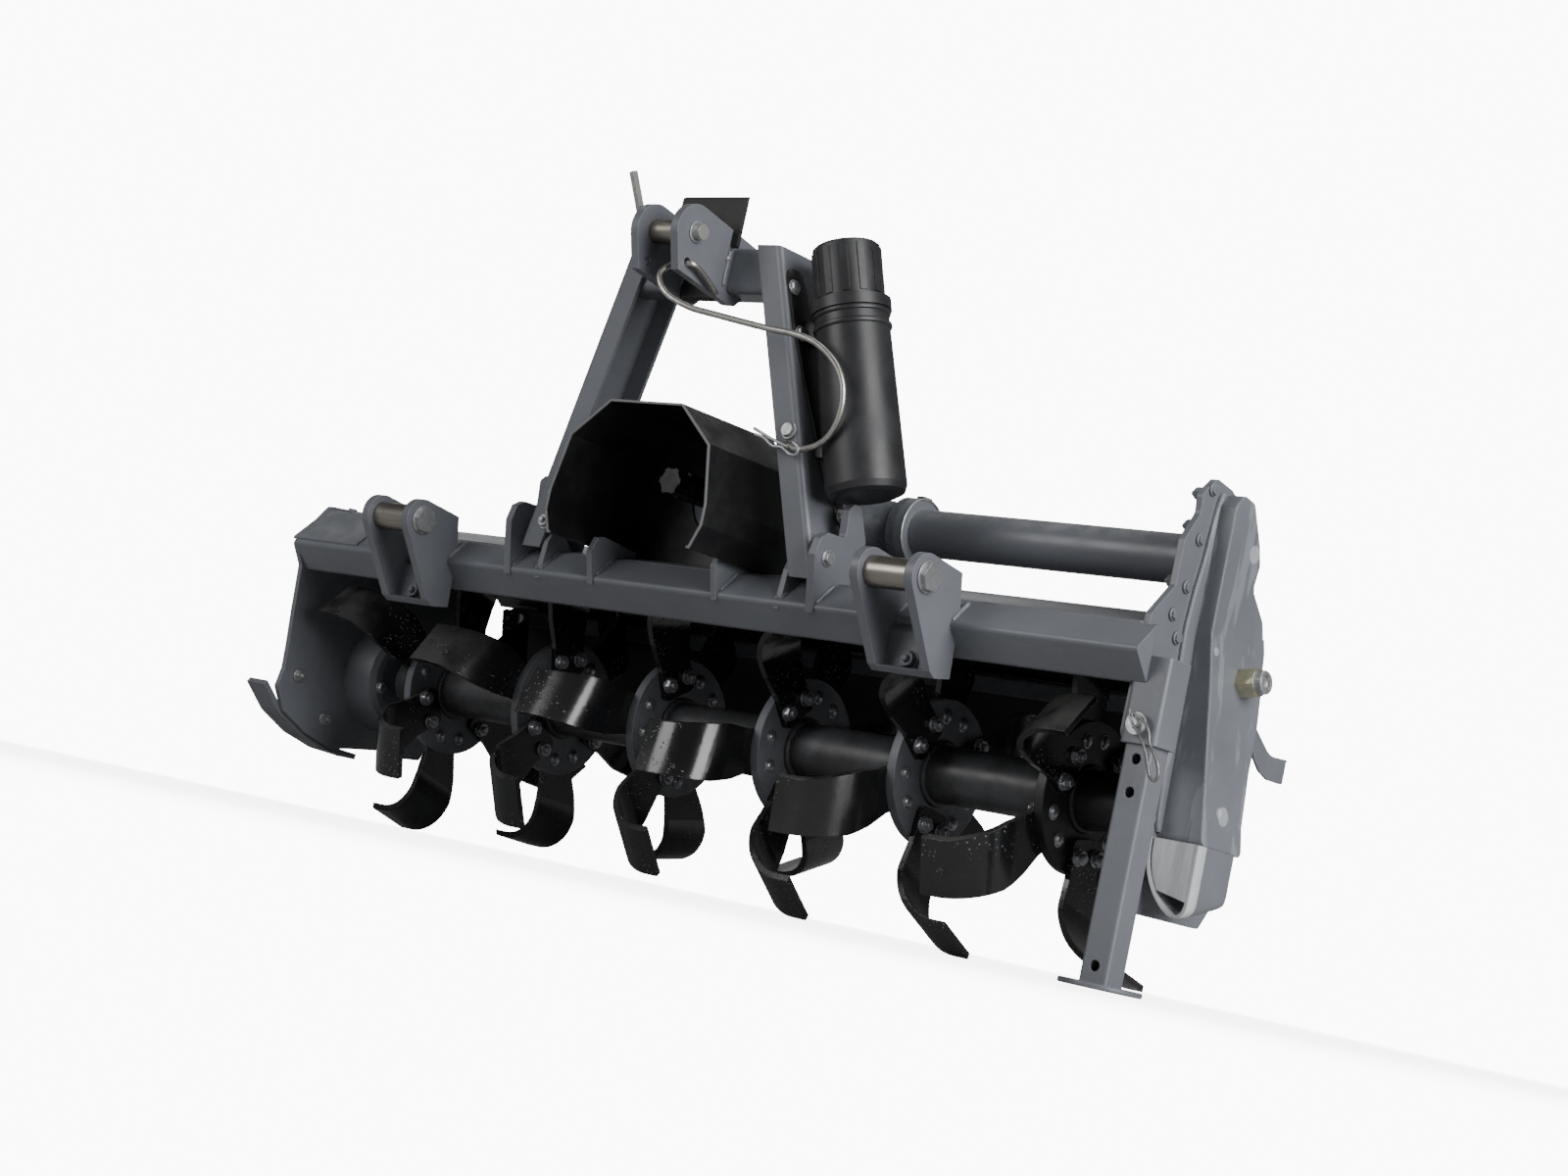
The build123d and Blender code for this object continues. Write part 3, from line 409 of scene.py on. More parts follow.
def makeCaseFinish():
    # The gear case has pale round patches, pale upright streaks down it that are painted
    # highlights, and rounder edges, which widen the painted highlight along them.
    paint = makeSlate("case_slate_painted_sheen", edge=casePaint["edge"])
    shade = paint.shade()
    grain = paint.noise(55, 3, 0.6)
    marks = 0
    for spot, radius in casePaint["paleSpots"]:
        reach = paint.distance(spot) + casePaint["ragged"] * grain - casePaint["ragged"] / 2
        marks = marks + (1 - reach.between(radius * mm, radius * mm + casePaint["blend"]))
    # Pale upright streaks: painted highlights, the sheen along the paint.
    runs = paint.noise(38, 3, 0.62, (1.0, 1.0, 0.14)).between(0.555, 0.60)
    shade = paint.mix(runs * 0.22, shade, casePaint["run"])
    paint.set(color=paint.mix(marks * 0.45, shade, casePaint["bare"]))
    return paint


shoePaint = {"front": 197, "ragged": 0.006, "blend": 0.004, "bare": (0.42, 0.43, 0.45),
             "bright": (0.58, 0.59, 0.60)}


def makeShoeFinish():
    # The front of the shoe is painted paler, in metal tones with upright streaks.
    paint = makeSlate("shoe_slate")
    shade = paint.shade()
    front = at(0, shoePaint["front"], 0)[0][1]
    grain = paint.noise(30, 4, 0.65)
    edge = paint.axis(1) + shoePaint["ragged"] * grain - shoePaint["ragged"] / 2
    # Painted paler in front of this line.
    worn = 1 - edge.between(front, front + shoePaint["blend"])
    scratches = paint.noise(60, 3, 0.7, (1.0, 1.0, 0.12)).between(0.35, 0.7)
    metal = paint.mix(scratches, shoePaint["bare"], shoePaint["bright"])
    paint.set(color=paint.mix(worn * 0.9, shade, metal))
    return paint


finishes["shield"] = makeShieldFinish()
finishes["case"] = makeCaseFinish()
finishes["shoe"] = makeShoeFinish()
finishes["rotor"] = makeShaftFinish()
finishes["topPin"] = makeTopPinFinish()
nodeFinish = {
    "front_beam": "slate", "left_side_plate": "slate", "left_saddle": "slateDusty",
    "right_side_plate": "slate", "left_skid": "slate", "hitch_bracket_left": "slate",
    "hitch_bracket_right": "slate", "link_pins": "zinc", "link_bushings": "bushing",
    "mast_post_left": "slate", "mast_post_right": "slate", "mast_crossbar": "slate",
    "top_link_plates": "slate", "top_link_pin": "topPin", "top_link_bushing": "bushing",
    "mast_back_plate": "shadeLiner", "mast_feet": "slate", "hood": "hood", "hinge_rod": "zinc",
    "tailboard": "slateDusty", "rotor_shaft": "rotor", "left_bearing": "slate",
    "right_bearing": "black", "gearbox": "castIron", "input_shaft": "spline",
    "drive_tube": "slateDusty", "pto_shield": "shield", "gear_case": "case",
    "right_shoe": "shoe", "stand_sleeve": "slate", "stand_leg": "slate", "stand_pin": "zinc",
    "canister_body": "plastic", "canister_cap": "plastic", "canister_bracket": "black",
    "hook_rod": "rod", **{"tines_%d" % k: "gloss" for k in range(1, 7)}}
for name, finish in nodeFinish.items():
    solid = frame["nodes"][name]
    solid.data.materials.clear()
    solid.data.materials.append(finishes[finish].material)
print("solids painted:", len(nodeFinish))


# Surfaces as grids of points
def wrapped(rings, closed=False):
    # Faces that join each ring of points to the next, and the last to the first where closed.
    count, around = rings.shape[:2]
    i, j = np.meshgrid(np.arange(count if closed else count - 1), np.arange(around),
                       indexing="ij")
    n, k = (i + 1) % count, (j + 1) % around
    faces = np.stack([i * around + j, i * around + k, n * around + k, n * around + j], -1)
    return rings.reshape(-1, 3), faces.reshape(-1, 4)


def shell(rings):
    # A closed skin from rings of points, the two end rings joined to their own middles.
    rings = np.asarray(rings, float)
    first, last = rings[:1].mean(1, keepdims=True), rings[-1:].mean(1, keepdims=True)
    return wrapped(np.concatenate([np.broadcast_to(first, rings[:1].shape), rings,
                                   np.broadcast_to(last, rings[:1].shape)]))


def joined(parts):
    # One pair of points and faces from several.
    shifts = np.cumsum([0] + [len(p) for p, f in parts[:-1]])
    return (np.concatenate([p for p, f in parts]),
            np.concatenate([f + s for (p, f), s in zip(parts, shifts)]))


def circle(steps):
    # Angles once round, evenly spaced.
    return np.arange(steps) * 2 * np.pi / steps


def turned(profile, steps=24, flats=0, across=0.0):
    # A profile of (radius, height) turned round +Z. With flats, the radius is cut to a polygon
    # that wide across.
    profile = np.array(profile, float) * mm
    angle = circle(steps)
    radius = np.repeat(profile[:, :1], steps, 1)
    if flats:
        wedge = (angle % (2 * np.pi / flats)) - np.pi / flats
        radius = np.minimum(radius, across * mm / 2 / np.cos(wedge))
    height = np.repeat(profile[:, 1:], steps, 1)
    return shell(np.stack([radius * np.cos(angle), radius * np.sin(angle), height], -1))


def ring(outer, inner, thick):
    # A flat washer: its section, with both edges eased, turned round a hole.
    profile = np.array([(inner, 0.0), (outer - 0.5, 0.0), (outer, 0.5), (outer, thick - 0.5),
                        (outer - 0.5, thick), (inner, thick), (inner, 0.0)]) * mm
    angle = circle(32)
    return wrapped(np.stack([profile[:, :1] * np.cos(angle), profile[:, :1] * np.sin(angle),
                             np.repeat(profile[:, 1:], len(angle), 1)], -1))


def swept(path, radius, steps=12, sideways=(0, 0, 1), wide=1.0):
    # A round section carried along a path. The radius may change along it, and wide stretches it
    # sideways.
    path = np.asarray(path, float)
    radius = np.broadcast_to(radius, (len(path),))[:, None, None]
    run = np.gradient(path, axis=0)
    run /= np.linalg.norm(run, axis=1, keepdims=True)
    side = np.cross(run, sideways)
    side /= np.linalg.norm(side, axis=1, keepdims=True)
    rise = np.cross(side, run)
    angle = circle(steps)[None, :, None]
    return shell(path[:, None] + radius * (wide * np.cos(angle) * side[:, None]
                                           + np.sin(angle) * rise[:, None]))


def curve(points, count):
    # A smooth line through the points: each stretch is the cubic set by its two ends and their
    # neighbours.
    points = np.asarray(points, float)
    padded = np.concatenate([2 * points[:1] - points[1:2], points,
                             2 * points[-1:] - points[-2:-1]])
    t = np.linspace(0, len(points) - 1 - 1e-9, count)
    i = t.astype(int)
    u = (t - i)[:, None]
    a, b, c, d = padded[i], padded[i + 1], padded[i + 2], padded[i + 3]
    return 0.5 * (2 * b + (c - a) * u + (2 * a - 5 * b + 4 * c - d) * u ** 2
                  + (3 * b - a - 3 * c + d) * u ** 3)


def sheetBetween(front, back, depth, normal):
    # A flat sheet with rounded corners between two lines of points, raised along the normal by
    # its depth.
    front, back = np.asarray(front, float), np.asarray(back, float)
    across = np.array([0.0, 0.04, 0.12, 0.5, 0.88, 0.96, 1.0])
    lift = np.array([0.0, 0.75, 1.0, 1.0, 1.0, 0.75, 0.0]) * depth * mm
    top = front[:, None] + (back - front)[:, None] * across[None, :, None]
    raised = top + lift[None, :, None] * np.asarray(normal)
    return shell(np.concatenate([raised, top[:, ::-1]], 1))


def bentSheet(inner, outer):
    # A sheet between two surfaces, each of them rows of points, with its edges closed.
    inner, outer = np.asarray(inner, float), np.asarray(outer, float)
    return shell(np.concatenate([inner, outer[:, ::-1]], 1))


def placed(part, origins, axes, turns=0.0):
    # Copies of a part, one at each origin, with its +Z along each axis and turned about it.
    points, faces = part
    origins = np.asarray(origins, float).reshape(-1, 3)
    axes = np.broadcast_to(np.asarray(axes, float), origins.shape)
    axes = axes / np.linalg.norm(axes, axis=1, keepdims=True)
    helper = np.where(np.abs(axes[:, 2:]) < 0.9, [[0, 0, 1.0]], [[1.0, 0, 0]])
    x = np.cross(helper, axes)
    x /= np.linalg.norm(x, axis=1, keepdims=True)
    y = np.cross(axes, x)
    turns = np.broadcast_to(turns, (len(origins),))[:, None]
    x, y = x * np.cos(turns) + y * np.sin(turns), y * np.cos(turns) - x * np.sin(turns)
    frames = np.stack([x, y, axes], 1)
    moved = np.einsum("pk,nkc->npc", points, frames) + origins[:, None]
    shifts = (np.arange(len(origins)) * len(points))[:, None, None]
    return moved.reshape(-1, 3), (faces[None] + shifts).reshape(-1, 4)


def makePiece(name, body, finish, parts, sharp=34):
    # One mesh from pairs of points and faces, with its doubles merged and its faces turned
    # outwards.
    points, faces = joined(parts)
    mesh = bpy.data.meshes.new(name)
    mesh.vertices.add(len(points))
    mesh.vertices.foreach_set("co", points.ravel())
    mesh.loops.add(faces.size)
    mesh.loops.foreach_set("vertex_index", faces.ravel().astype(np.int32))
    mesh.polygons.add(len(faces))
    mesh.polygons.foreach_set("loop_start", np.arange(0, faces.size, 4, dtype=np.int32))
    mesh.update(calc_edges=True)
    mesh.validate()
    work = bmesh.new()
    work.from_mesh(mesh)
    bmesh.ops.remove_doubles(work, verts=work.verts, dist=2e-6)
    bmesh.ops.recalc_face_normals(work, faces=work.faces)
    work.to_mesh(mesh)
    work.free()
    mesh.shade_smooth()
    mesh.set_sharp_from_angle(angle=math.radians(sharp))
    mesh.materials.append(finishes[finish].material)
    piece = bpy.data.objects.new(name, mesh)
    bpy.context.scene.collection.objects.link(piece)
    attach(piece, body)
    return piece


# Fasteners, in millimetres. A hexagon has its width across the flats, its height, and the radius
# of its stud and of its washer, 0 where it has none.
bolt = {"head": 7.6, "dome": 5.2}
hexes = {"tineNut": (17, 8.0, 5.0, 10.5), "bracketFoot": (17, 9, 4.5, 12),
         "lugHead": (15, 6.5, 0, 10.5), "lugNut": (15, 7.5, 4.0, 10.5),
         "strap": (13, 5.5, 0, 9.5), "rodClip": (16, 7, 0, 11), "rimBolt": (11, 5, 0, 7.5),
         "rimNut": (13, 8, 3.4, 0), "plugSeat": (31, 22, 0, 0), "bearing": (13, 6, 0, 9),
         "skidNut": (15, 7, 3.5, 10), "saddle": (12, 5, 0, 8.5), "lid": (13, 6.5, 0, 9),
         "cover": (12, 6, 0, 8.5)}
domeHead = turned([(bolt["head"] + 1.6, -1), (bolt["head"] + 1.6, 0.9), (bolt["head"] + 0.3, 1.2),
                   (bolt["head"] * 0.95, 2.4), (bolt["head"] * 0.76, 3.9),
                   (bolt["head"] * 0.42, 4.9), (bolt["head"] * 0.1, bolt["dome"])], 20)


def hexHead(use):
    # A hexagon with chamfered corners, over a washer, with the end of its stud standing out if it
    # is a nut.
    across, height, stud, washer = hexes[use]
    corner = across * 0.577
    parts = [turned([(corner * 1.05, 0.0), (corner * 1.05, height * 0.8), (across * 0.5, height)],
                    36, 6, across)]
    if washer:
        parts.append(turned([(washer - 0.4, -0.4), (washer, 0.1), (washer, 1.6),
                             (washer - 0.5, 2.1)], 28))
    if stud:
        parts.append(turned([(stud, 0), (stud, height + 3.4), (stud - 1.1, height + 4.6)], 16))
    return joined(parts)


beadSwell = 0.13  # how far a bead swells at each stop, as a share of its radius


def weld(start, end, radius, pitch=3.2, wide=1.25):
    # A bead laid from start to end, square to the machine's width: its radius swells once per
    # pitch, where the welder stopped and moved on.
    start, end = at(start)[0], at(end)[0]
    length = np.linalg.norm(end - start)
    count = max(8, int(length / (pitch * mm) * 4))
    t = np.linspace(0, 1, count)
    swell = 1 + beadSwell * np.abs(np.sin(np.pi * t * length / (pitch * mm)))
    ends = np.clip(np.minimum(t, 1 - t) * length / (radius * mm), 0, 1) ** 0.5
    wobble = 0.25 * mm * np.sin(t[:, None] * length * np.array([210.0, 330.0, 270.0]))
    path = start + (end - start) * t[:, None] + wobble
    return swept(path, radius * mm * swell * (0.25 + 0.75 * ends), 10, (1, 0, 0), wide)


def ringWeld(centre, axis, reach, radius, pitch=3.4):
    # The same bead round a circle that stands across the axis. Reach is the circle's radius, and
    # radius the bead's own.
    axis = np.array(axis, float)
    helper = np.array([0, 0, 1.0]) if abs(axis[2]) < 0.9 else np.array([1.0, 0, 0])
    x = np.cross(helper, axis)
    y = np.cross(axis, x)
    count = int(2 * np.pi * reach / pitch * 4)
    t = circle(count)
    out = np.cos(t)[:, None] * x + np.sin(t)[:, None] * y
    swell = 1 + beadSwell * np.abs(np.sin(t * reach / pitch * np.pi))
    path = at(centre)[0] + out * reach * mm
    angle = circle(10)[None, :, None]
    section = np.cos(angle) * out[:, None] + np.sin(angle) * axis
    return wrapped(path[:, None] + radius * mm * swell[:, None, None] * section, closed=True)


def makeRotorHardware():
    # Two bolts through every tine, with domed heads on one side of the flange and nuts on the
    # other, and a bead round the tube on each side of the flange.
    k = np.arange(rotor["flanges"])
    stations = rotor["first"] + rotor["spacing"] * k
    base = rotor["angle"] + rotor["step"] * k
    heads, nuts = [], []
    nut = hexHead("tineNut")
    for side, lag in ((-1, 0.0), (1, 60.0)):
        tine = base[:, None, None] + lag + np.array([0, 120, 240])[None, :, None]
        angle = np.radians(tine + np.array([-1, 1])[None, None, :] * rotor["spread"])
        x = np.broadcast_to(stations[:, None, None], angle.shape)
        y = rotor["centre"][0] - rotor["boltCircle"] * np.cos(angle)
        z = rotor["centre"][1] - rotor["boltCircle"] * np.sin(angle)
        headSpots = at(np.stack([x - side * rotor["face"], y, z], -1))
        nutSpots = at(np.stack([x + side * (rotor["face"] + rotor["tine"]), y, z], -1))
        heads.append(placed(domeHead, headSpots, (-side, 0, 0)))
        nuts.append(placed(nut, nutSpots, (side, 0, 0), np.arange(len(nutSpots)) * 0.7))
    makePiece("tine_bolt_heads", "rotor", "rivet", heads)
    makePiece("tine_bolt_nuts", "rotor", "rivet", nuts)
    off = rotor["face"] + rotor["weldOut"]
    welds = [ringWeld((x + side * off, *rotor["centre"]), (1, 0, 0), rotor["weldRing"],
                      rotor["weldRadius"]) for x in stations for side in (-1, 1)]
    makePiece("rotor_welds", "rotor", "rotor", welds)


makeRotorHardware()
print("rotor hardware made")


# Hitch: washers under the pin heads, and a bolt through each bracket's foot
hitchParts = {"pin": 412.5, "plateOut": 44.5, "washer": (18.5, 12.4, 2.6),
              "boltAt": (1, 58, 312), "boltAlong": (0, -1, 0.15),
              "topWasher": (13.5, 9.8, 2.0), "topWasherAt": (39, -40, 781),
              "plug": ((4, -1), (4, 2), (2, 4)), "plugAt": (39, 24, 768)}


def makeHitchHardware():
    washers, bolts = [], []
    washer, foot = ring(*hitchParts["washer"]), hitchParts["boltAt"]
    for side in (-1, 1):
        x = side * hitchParts["pin"]
        for face in (1, -1):
            spot = at((x + face * hitchParts["plateOut"], 0, pinHeight))
            washers.append(placed(washer, spot, (face, 0, 0)))
        bolts.append(placed(hexHead("bracketFoot"), at((x + foot[0], *foot[1:])),
                            hitchParts["boltAlong"], 0.3))
    washers.append(placed(ring(*hitchParts["topWasher"]), at(hitchParts["topWasherAt"]),
                          (1, 0, 0)))
    washers.append(placed(turned(hitchParts["plug"], 16), at(hitchParts["plugAt"]), (1, 0, 0)))
    makePiece("link_pin_washers", "frame", "zinc", washers)
    # The foot bolts take the dark cast finish: painted shade, as they sit in shadow.
    makePiece("bracket_foot_bolts_shaded", "frame", "castIron", bolts)


makeHitchHardware()


# Mast: the bolts that hold the posts between the lugs, and the plate along the right post that
# carries the canister. Slope is how far a post leans sideways for each millimetre of height.
mast = {"slope": 0.315, "web": (122.3, 785), "lugBolt": (259, 64, 419),
        "lugNuts": ((-193, 54.4, 461), (-203, 58.2, 425)), "backLean": 0.105,
        "strapHeight": (760, 756, 748, 692, 600, 509, 476, 462, 456),
        "strapFront": (36, 31, 29, 37, 64, 92, 110, 119, 124),
        "strapBack": (54, 60, 64, 82, 105, 122, 128, 130, 128), "strap": 3.2,
        "strapBolts": ((40, 737), (50, 683), (117, 477)), "clipBolt": (178, 44.3, 563)}
outward = np.array([1, 0, mast["slope"]]) / math.hypot(1, mast["slope"])


def onWeb(y, z, out=0.0):
    # A place on the sloping outer side of the right post, raised from it.
    x, height = mast["web"]
    return np.array([x + mast["slope"] * (height - z), y, z]) + out * outward


def makeMastHardware():
    head = hexHead("lugHead")
    nut = hexHead("lugNut")
    lug, y, z = mast["lugBolt"]
    back = (0, -1, mast["backLean"])
    parts = [placed(head, at((lug, y, z)), (1, 0, 0), 0.4),
             placed(nut, at(mast["lugNuts"]), back, 0.2),
             placed(head, at((-lug, y, z)), (-1, 0, 0), 0.1)]
    makePiece("lug_bolts", "frame", "zinc", parts)
    line = [at([onWeb(y, z) for y, z in zip(mast[edge], mast["strapHeight"])])
            for edge in ("strapFront", "strapBack")]
    makePiece("canister_strap_plate", "frame", "black",
              [sheetBetween(*line, mast["strap"], outward)])
    spots = at([onWeb(y, z, 3) for y, z in mast["strapBolts"]])
    makePiece("strap_plate_bolts", "frame", "zinc",
              [placed(hexHead("strap"), spots, outward, 0.5)])
    makePiece("rod_clip_bolt", "frame", "zinc",
              [placed(hexHead("rodClip"), at(mast["clipBolt"]), back, 0.2)])


makeMastHardware()


# Black plate between the top link plates: a stem, a head above it, and a tab down each side of
# the head. Each has its left, right, foot and top.
backPlate = {"head": (-56, 50, 799, 848), "rightTab": (39.6, 50, 782, 803),
             "leftTab": (-56, -39.6, 782, 803), "stem": (-27.3, 27.3, 714, 803)}


def makeBackPlate():
    low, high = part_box("mast_back_plate")
    parts = []
    for left, right, foot, top in backPlate.values():
        edges = [at([(x, 0, z) for x in np.linspace(left, right, 3)]) for z in (foot, top)]
        for edge in edges:
            edge[:, 1] = high[1]
        parts.append(sheetBetween(*edges, (high[1] - low[1]) / mm, (0, -1, 0)))
    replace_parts(makePiece("top_back_plate", "frame", "shadeLiner", parts),
                "mast_back_plate")


makeBackPlate()


# Two thin bands near the canister's top, and the arms that hold it to the post. Bands and arms
# are heights along the canister, and the radii are those of its foot and of its shoulder.
canister = {"foot": (276.0, 91.0, 500.0), "top": (190.0, 60.0, 795.0), "bands": (206, 222),
            "arms": (52, 200), "radiusAt": (49.0, 43.5), "bottom": 11, "shoulder": 84,
            "section": ((-1, -3.4), (1.6, -3.4), (3.0, -2.2), (3.4, 0), (3.0, 2.2), (1.6, 3.4),
                        (-1, 3.4)),
            "armReach": 42, "armHalf": 16, "armDrop": 11, "armDepth": 22, "armIntoPost": 2}


def makeCanisterStraps():
    foot, top = (np.array(canister[key]) for key in ("foot", "top"))
    length = np.linalg.norm(top - foot)
    axis = (top - foot) / length
    angle = circle(64)
    parts = []
    for h in canister["bands"]:
        radius = np.interp(h, (canister["bottom"], length - canister["shoulder"]),
                           canister["radiusAt"])
        tube = np.array([(radius + out, z) for out, z in canister["section"]]) * mm
        rings = np.stack([np.outer(np.cos(angle), tube[:, 0]), np.outer(np.sin(angle), tube[:, 0]),
                          np.broadcast_to(tube[:, 1], (len(angle), len(tube)))], -1)
        parts.append(placed(wrapped(rings, closed=True), at(foot + axis * h), axis))
    for h in canister["arms"]:
        x, y, z = foot + axis * h
        start = onWeb(0, z)[0] - canister["armIntoPost"]
        end = x - canister["armReach"]
        line = [at([(along, y + side * canister["armHalf"], z - canister["armDrop"])
                    for along in (start, (start + end) / 2, end)]) for side in (-1, 1)]
        parts.append(sheetBetween(*line, canister["armDepth"], (0, 0, 1)))
    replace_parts(makePiece("canister_bands", "frame", "plastic", parts),
                "canister_bracket")


makeCanisterStraps()


# Rod that holds the power shaft up when it is unhitched, and the two prongs of the spring clip
# on its free end
carrier = {
    "radius": 4.0, "clip": 2.1,
    "route": ((47, 8, 718), (47, -8, 727), (47, -30, 737), (45, -42, 740.4), (38, -45, 740.5),
              (26, -45, 740.5), (19, -46, 739.4), (14, -52, 733), (13, -59, 724), (17, -62, 714),
              (26, -62, 703), (40, -58, 693), (66, -49, 684), (95, -38, 680), (130, -25, 675.5),
              (165, -13, 671.5), (195, -4, 669), (222, 4, 662), (245, 12, 646), (260, 18, 626),
              (266, 22, 603), (263, 26, 579), (252, 30, 559), (234, 34, 547), (212, 37, 541),
              (195, 38.5, 541), (184, 40.5, 545), (178, 45.5, 547)),
    "shortProng": ((190, 33, 541), (176, 33, 545), (158, 32, 551), (134, 31, 560)),
    "longProng": ((196, 34, 547), (205, 34, 541), (203, 35, 533), (193, 35, 533),
                  (180, 34, 540), (166, 33, 541), (152, 32, 549), (137, 31, 553))}


def makeCarrierRod():
    line = curve(at(carrier["route"]), 220)
    rod = makePiece("carrier_rod", "frame", "rod", [swept(line, carrier["radius"] * mm, 14)])
    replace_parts(rod, "hook_rod")
    prongs = (curve(at(carrier["shortProng"]), 30), curve(at(carrier["longProng"]), 60))
    makePiece("carrier_rod_clip", "frame", "zinc",
              [swept(p, carrier["clip"] * mm, 10) for p in prongs])


makeCarrierRod()


collar = {"centre": (247.5, 245, 491), "radius": 41.0, "highlightRing": 1.3}


def makeCollarHighlight():
    # A bright zinc ring round the edge of the drive tube's collar: a painted highlight along that
    # edge.
    highlightRing = ringWeld(collar["centre"], (1, 0, 0), collar["radius"], collar["highlightRing"])
    makePiece("collar_edge_highlight", "frame", "zinc", [highlightRing])


makeCollarHighlight()
print("mast hardware made")


# Drive side: the flange and bolts round the gear case, and its level plug. The front is a line of
# y and z down the case's front edge.
drive = {"plate": 684.0, "inside": 676.0,
         "front": ((191, 560), (186, 552), (182, 520), (178, 480), (172, 446), (168, 405),
                   (169, 380), (176, 300), (182, 240), (187, 190), (192, 180)),
         "flangeBack": 206, "flange": 5,
         "rimBolts": ((173, 559), (166, 501), (158, 446), (142, 412), (158, 389), (176, 192)),
         "rimNuts": ((167, 552), (161, 514), (148, 449)),
         "plugAt": (714.5, 259, 362), "plugSlope": 33 / 233, "plugOut": 21.8, "plugAcross": 27,
         "plug": ((13.5, 0), (13.5, 7.5), (12.3, 9.2), (8.5, 9.6), (7.9, 8.9), (7.4, 5.5))}


def makeDriveHardware():
    front = np.array(drive["front"], float)
    height = np.linspace(front[0, 1], front[-1, 1], 60)
    edge = np.interp(height, front[::-1, 1], front[::-1, 0])
    plate = np.full(len(height), drive["plate"])
    line = [at(np.stack([plate, y, height], 1))
            for y in (edge, np.full(len(height), float(drive["flangeBack"])))]
    makePiece("case_flange", "frame", "case", [sheetBetween(*line, drive["flange"], (1, 0, 0))])
    rim = at([(drive["plate"] + 0.5, y, z) for y, z in drive["rimBolts"]])
    makePiece("case_rim_bolts", "frame", "slate",
              [placed(hexHead("rimBolt"), rim, (1, 0, 0), 0.6)])
    inner = at([(drive["inside"], y, z) for y, z in drive["rimNuts"]])
    makePiece("case_rim_nuts", "frame", "slate",
              [placed(hexHead("rimNut"), inner, (-1, 0, 0), 0.2)])
    slope = np.array([1, 0, drive["plugSlope"]]) / math.hypot(1, drive["plugSlope"])
    base = at(drive["plugAt"])
    makePiece("level_plug_seat", "frame", "yellowZinc",
              [placed(hexHead("plugSeat"), base, slope, 0.26)])
    head = turned(drive["plug"], 36, 6, drive["plugAcross"])
    makePiece("level_plug", "frame", "zinc",
              [placed(head, base + drive["plugOut"] * mm * slope, slope, 0.6)])


makeDriveHardware()


# Bolts of the rotor's left bearing, of the left plate and of the saddle over it
left = {"wall": -677.0, "plate": 8, "cup": -627.0, "cupCircle": 52, "first": 20,
        "skid": ((119, 180), (183, 130)),
        "saddle": ((-655, 128, 418.9), (-600, 128, 418.9), (-628, 152, 421.0))}


def makeLeftHardware():
    turn = np.radians(np.arange(4) * 90 + left["first"])
    y, z = rotor["centre"]
    cup = at([(left["cup"], y - left["cupCircle"] * math.cos(t),
               z - left["cupCircle"] * math.sin(t)) for t in turn])
    makePiece("bearing_bolts", "frame", "zinc",
              [placed(hexHead("bearing"), cup, (1, 0, 0), 0.3)])
    inside, outside = (at([(left["wall"] - out, y, z) for y, z in left["skid"]])
                       for out in (0, left["plate"]))
    makePiece("left_plate_bolts", "frame", "zinc",
              [placed(hexHead("skidNut"), inside, (1, 0, 0)),
               placed(domeHead, outside, (-1, 0, 0))])
    makePiece("saddle_bolts", "frame", "slate",
              [placed(hexHead("saddle"), at(left["saddle"]), (0, 0, 1))])


makeLeftHardware()
print("side hardware made")


# Black liner behind the rotor, hung inside the rear edge of the hood: a dark sheet that stands in
# for the shade inside the tailboard. Its section is a line of y and z.
shadeLiner = {"left": -636, "right": 606, "columns": 12, "thick": 3.0,
         "section": ((460.4, 348.5), (461, 346), (463, 331), (466, 318), (472, 300), (479, 281),
                     (485, 264), (487, 256))}


def makeShadeLiner():
    # Its section runs down and back just outside the circle that the tines cut.
    path = np.array(shadeLiner["section"], float)
    run = np.gradient(path, axis=0)
    out = np.stack([-run[:, 1], run[:, 0]], 1) / np.linalg.norm(run, axis=1, keepdims=True)
    size = (len(path), shadeLiner["columns"])
    x = np.broadcast_to(np.linspace(shadeLiner["left"], shadeLiner["right"], shadeLiner["columns"]), size)
    faces = [surfaceAt(np.stack([x, np.broadcast_to(p[:, :1], size),
                                 np.broadcast_to(p[:, 1:], size)], -1))
             for p in (path, path + out * shadeLiner["thick"])]
    # A near-black sheet: painted shade inside the tailboard.
    makePiece("rear_shade_liner", "frame", "shadeLiner", [bentSheet(*faces)])


makeShadeLiner()


# Shoe under the gear case: a trough with a keel, closed in front by a plate that leaves a gap
# below it. The rim is a line of x and z across the machine.
shoe = {"front": 182.0, "plateAt": 186.0, "back": 257.0, "sheet": 4.2, "rise": 20.0,
        "top": 173, "depth": 80,
        "rim": ((686.5, 173), (688, 152), (694, 132), (706, 112), (722, 97), (735, 93),
                (743, 99), (745.5, 112), (745.5, 140), (745.5, 173)),
        "plateFoot": 118, "plateRight": 748.0, "plateDrop": 9 / 55, "plate": 4.5, "inset": 2.2,
        "lid": (688, 747, 173.5), "lidRows": (183, 220, 257), "lidDepth": 1.5}


